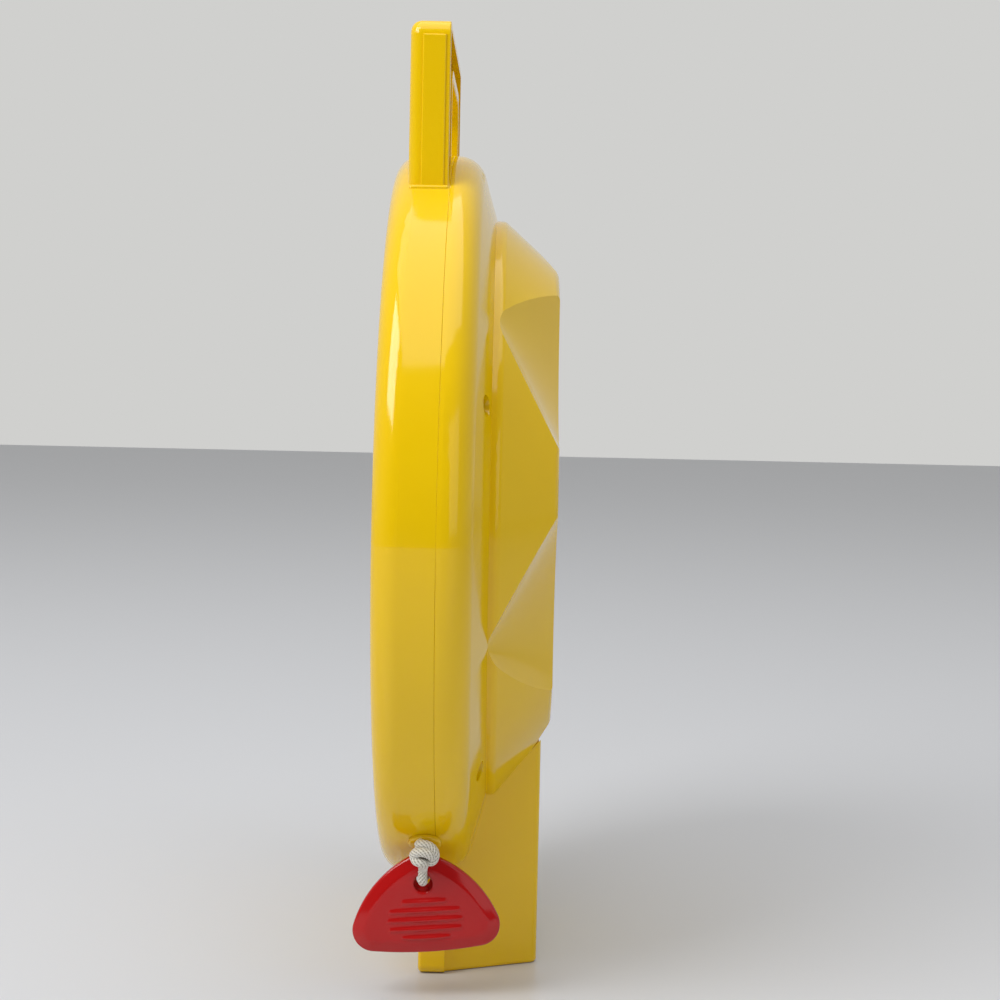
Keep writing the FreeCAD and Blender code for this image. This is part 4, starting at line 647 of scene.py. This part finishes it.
def printed_card():
    """Litho-printed card under a thin varnish: coloured fields parted by white lines, a sky-blue centre."""
    material, tree, surface, place = shader("varnished_printed_card", IOR=1.5)
    radius, angle = polar(tree, place, DISC_Z)
    count = len(FIELDS)
    share = node(tree, "ShaderNodeMapRange", {
        "Value": angle, "From Min": -math.pi, "From Max": math.pi,
        "To Min": 0.0, "To Max": float(count)}).outputs["Result"]
    whole = calc(tree, "FLOOR", share)
    stops = [(max(0, i / count - 0.01), colour(tone)) for i, tone in enumerate(FIELDS)]
    fields = steps_of_colour(tree, calc(tree, "DIVIDE", whole, float(count)), stops)
    off = calc(tree, "ABSOLUTE", calc(tree, "SUBTRACT", calc(tree, "SUBTRACT", share, whole), 0.5))
    arc = calc(tree, "MULTIPLY", calc(tree, "SUBTRACT", 0.5, off), radius)
    line = calc(tree, "LESS_THAN", arc, FIELD_LINE_HALF)
    paint = mixed(tree, line, fields, colour(CARD_WHITE))
    rings = [(reach / CENTRE_SPAN, colour(tone)) for reach, tone in CENTRE_RINGS]
    inner = steps_of_colour(tree, calc(tree, "DIVIDE", radius, CENTRE_SPAN * MM), rings)
    paint = mixed(tree, calc(tree, "LESS_THAN", radius, CENTRE_EDGE), paint, inner)
    pulp = noise(tree, place, 0.7, 5, 0.7)
    shade = ramp(tree, pulp, ((0.3, grey(0.86)), (0.6, grey(1.0))))
    paint_with(tree, surface, mixed(tree, 1.0, paint, shade, blend_type="MULTIPLY"))
    vary_gloss(tree, surface, pulp, 0.22, 0.42)
    emboss(tree, surface, pulp, 0.25, 0.03)
    return material


INK_DEPTH = 0.82


def ink(name, tone):
    """Flat printing ink on card, slightly uneven where the paper drinks it."""
    material, tree, surface, place = shader(name, IOR=1.5)
    pulp = noise(tree, place, 0.6, 5, 0.7)
    light = colour(tone)
    deep = [channel * INK_DEPTH for channel in light[:3]] + [1.0]
    paint_with(tree, surface, ramp(tree, pulp, ((0.3, deep), (0.62, light))))
    vary_gloss(tree, surface, pulp, 0.24, 0.44)
    return material


INKS = (("white", "FAF7EE"), ("black", "2A2422"), ("pink", "F2A0A8"), ("brown", "8A5530"),
        ("orange", "F08A2C"), ("grey", "9AA0A6"), ("tan", "D9AE74"), ("green", "7DB84A"))
WHITE, BLACK = 0, 1
# Faces: head ink, half-width and half-height; ear ink, out, up, half-width, half-height and lean in degrees;
# muzzle ink, half-width, half-height and drop; nose ink and half-width. Sizes in millimetres.
FACES = (
    (6, 7.2, 7.6, 3, 7.2, 1.5, 2.4, 5.6, 12, 0, 4.2, 3.4, 3.2, 1, 1.6),
    (4, 7.8, 7.0, 4, 5.2, 6.4, 2.2, 3.6, -18, 0, 3.8, 2.7, 3.0, 2, 0.9),
    (2, 7.8, 7.4, 2, 5.6, 6.0, 2.4, 3.0, -30, 2, 3.6, 2.6, 1.8, 3, 2.3),
    (5, 7.0, 6.4, 5, 7.0, 5.6, 3.8, 3.8, 0, 0, 3.0, 2.4, 3.2, 1, 0.9),
    (0, 6.4, 7.4, 1, 7.6, 1.2, 3.8, 1.8, 20, 1, 4.0, 4.8, 1.4, 2, 1.0),
    (3, 6.0, 8.6, 3, 4.4, 8.2, 1.5, 3.2, -14, 6, 3.8, 3.6, 5.0, 1, 1.8),
    (7, 8.6, 6.6, 7, 5.0, 5.4, 2.9, 2.9, 0, 7, 6.6, 2.8, 2.8, 1, 0.7),
    (0, 6.6, 6.8, 0, 2.9, 10.2, 1.7, 5.6, -8, 0, 3.2, 2.4, 3.0, 2, 0.9),
    (3, 7.8, 7.4, 3, 5.8, 6.2, 2.8, 2.8, 0, 6, 3.9, 3.2, 2.6, 1, 1.5),
    (0, 7.0, 7.8, 1, 7.8, 3.4, 3.4, 1.9, -12, 2, 4.4, 3.2, 4.2, 3, 1.5),
    (6, 7.6, 7.2, 6, 5.0, 6.8, 1.9, 3.2, -24, 0, 5.2, 4.6, 1.6, 4, 1.5),
    (5, 6.4, 8.6, 5, 4.2, 9.0, 1.6, 4.6, -16, 0, 3.9, 3.3, 5.0, 1, 1.7),
)
PRINT_FACE_Y = -12.2 * MM
INK_STEP = 0.02 * MM
INK_THICKNESS = 0.015 * MM
BLOB_POINTS = 40
BACKDROP_MM = 13.2


def animal_prints():
    """Plain animal faces, one to a field, printed in layers of ink a few hundredths of a millimetre thick."""
    points, faces, inks = [], [], []

    def blob(turn, tone, out, up, half_width, half_height, lean, layer):
        """Oval of ink in the field at this turn; lean in degrees."""
        depth = PRINT_FACE_Y - INK_STEP * layer
        start = len(points)
        lean_cos, lean_sin = math.cos(math.radians(lean)), math.sin(math.radians(lean))
        for rise in (0.0, INK_THICKNESS):
            for k in range(BLOB_POINTS):
                angle = math.tau * k / BLOB_POINTS
                u, w = half_width * math.cos(angle), half_height * math.sin(angle)
                u, w = out + u * lean_cos - w * lean_sin, up + u * lean_sin + w * lean_cos
                u, w = u * MM, w * MM + MOTIF_RADIUS
                points.append((u * math.cos(turn) + w * math.sin(turn), depth - rise,
                               DISC_Z - u * math.sin(turn) + w * math.cos(turn)))
        faces.append(tuple(start + BLOB_POINTS + k for k in range(BLOB_POINTS)))
        faces.append(tuple(start + BLOB_POINTS - 1 - k for k in range(BLOB_POINTS)))
        sides = ring_faces(2, BLOB_POINTS)
        faces.extend(tuple(start + i for i in side) for side in sides)
        inks.extend([tone] * (2 + len(sides)))

    for index, face in enumerate(FACES):
        turn = math.tau * (index + 0.5) / len(FACES)
        head, wide, high, ear, out, up, ear_wide, ear_high, lean = face[:9]
        muzzle, muzzle_wide, muzzle_high, drop, nose, nose_wide = face[9:]
        blob(turn, WHITE, 0, 0, BACKDROP_MM, BACKDROP_MM, 0, 1)
        for side in (-1, 1):
            blob(turn, ear, side * out, up, ear_wide, ear_high, side * lean, 2)
        blob(turn, head, 0, 0, wide, high, 0, 3)
        blob(turn, muzzle, 0, -drop, muzzle_wide, muzzle_high, 0, 4)
        blob(turn, nose, 0, -drop + muzzle_high * 0.3, nose_wide, nose_wide * 0.72, 0, 5)
        for side in (-1, 1):
            eye = side * wide * 0.38
            blob(turn, WHITE, eye, high * 0.26, 1.5, 1.7, 0, 4)
            blob(turn, BLACK, eye, high * 0.24, 0.9, 1.05, 0, 5)
            blob(turn, WHITE, eye + 0.3, high * 0.24 + 0.4, 0.3, 0.3, 0, 6)
        blob(turn, BLACK, 0, -drop - muzzle_high * 0.42, muzzle_wide * 0.42, 0.34, 0, 5)
    mesh = mesh_of("animal_prints", points, faces, smooth=False)
    mesh.polygons.foreach_set("material_index", inks)
    link("animal_prints", mesh, "casing", *[ink("ink_" + name, tone) for name, tone in INKS])


add_camera()
add_room()

yellow = moulded("yellow_abs_polished", "F4CA00", "EDC000", 0.09, subsurface=0.02)
red = moulded("red_abs_polished", "C01212", "B00E0E", 0.08, subsurface=0.02)
cloth = braid_cloth()
dress(yellow, "front_shell", "back_shell")
dress(moulded("bush_yellow_abs", "F0C408", "E6B800", 0.16), "string_bushing", "pointer_cap")
dress(red, "pointer")
dress(printed_card(), "picture_disc")
dress(moulded("grey_abs_chassis", "8E9194", "83868A", 0.4, 0.9, 0.2), "chassis_plate", "spring_cup",
      "governor_cup")
dress(moulded("white_acetal", "EDEBE4", "DFDCD2", 0.32, 1.1, 0.12, 0.2), "turntable", "string_spool",
      "governor_pulley", "selector_wheel", "selector_shaft", "bearing_bush")
dress(moulded("black_styrene_arm", "1B1C1F", "24262A", 0.28), "tone_arm", "sound_bar")
dress(pressed_record(), "record_disc")
dress(metal("zinc_plated_steel", "C9CCD2", "A9AEB6", 0.26, 3.5), "case_screws", "chassis_screws",
      "speaker_screws", "detent_screw", "arm_clip", "record_clip", "shaft_clip")
dress(metal("blued_spring_steel", "6E737D", "4E5460", 0.22, 2.0), "mainspring", "detent_spring",
      "arm_spring", "governor_spring")
dress(metal("turned_brass", "C9A24B", "B08A38", 0.24, 1.5), "governor_weights")
dress(metal("ground_steel", "B9BCC2", "9FA4AC", 0.16, 1.2), "spindle", "governor_shaft", "tone_arm_pin",
      "stylus")
dress(metal("pressed_tin_plate", "B7B9BC", "9EA1A6", 0.36, 6.0), "speaker_frame")
dress(rubber("black_belt_rubber", "17171A", "26262A"), "drive_belt")
dress(pulp_cone(), "speaker_cone")
pull_string(cloth)
finger_tab(red)
animal_prints()
handle_root_beads(yellow)
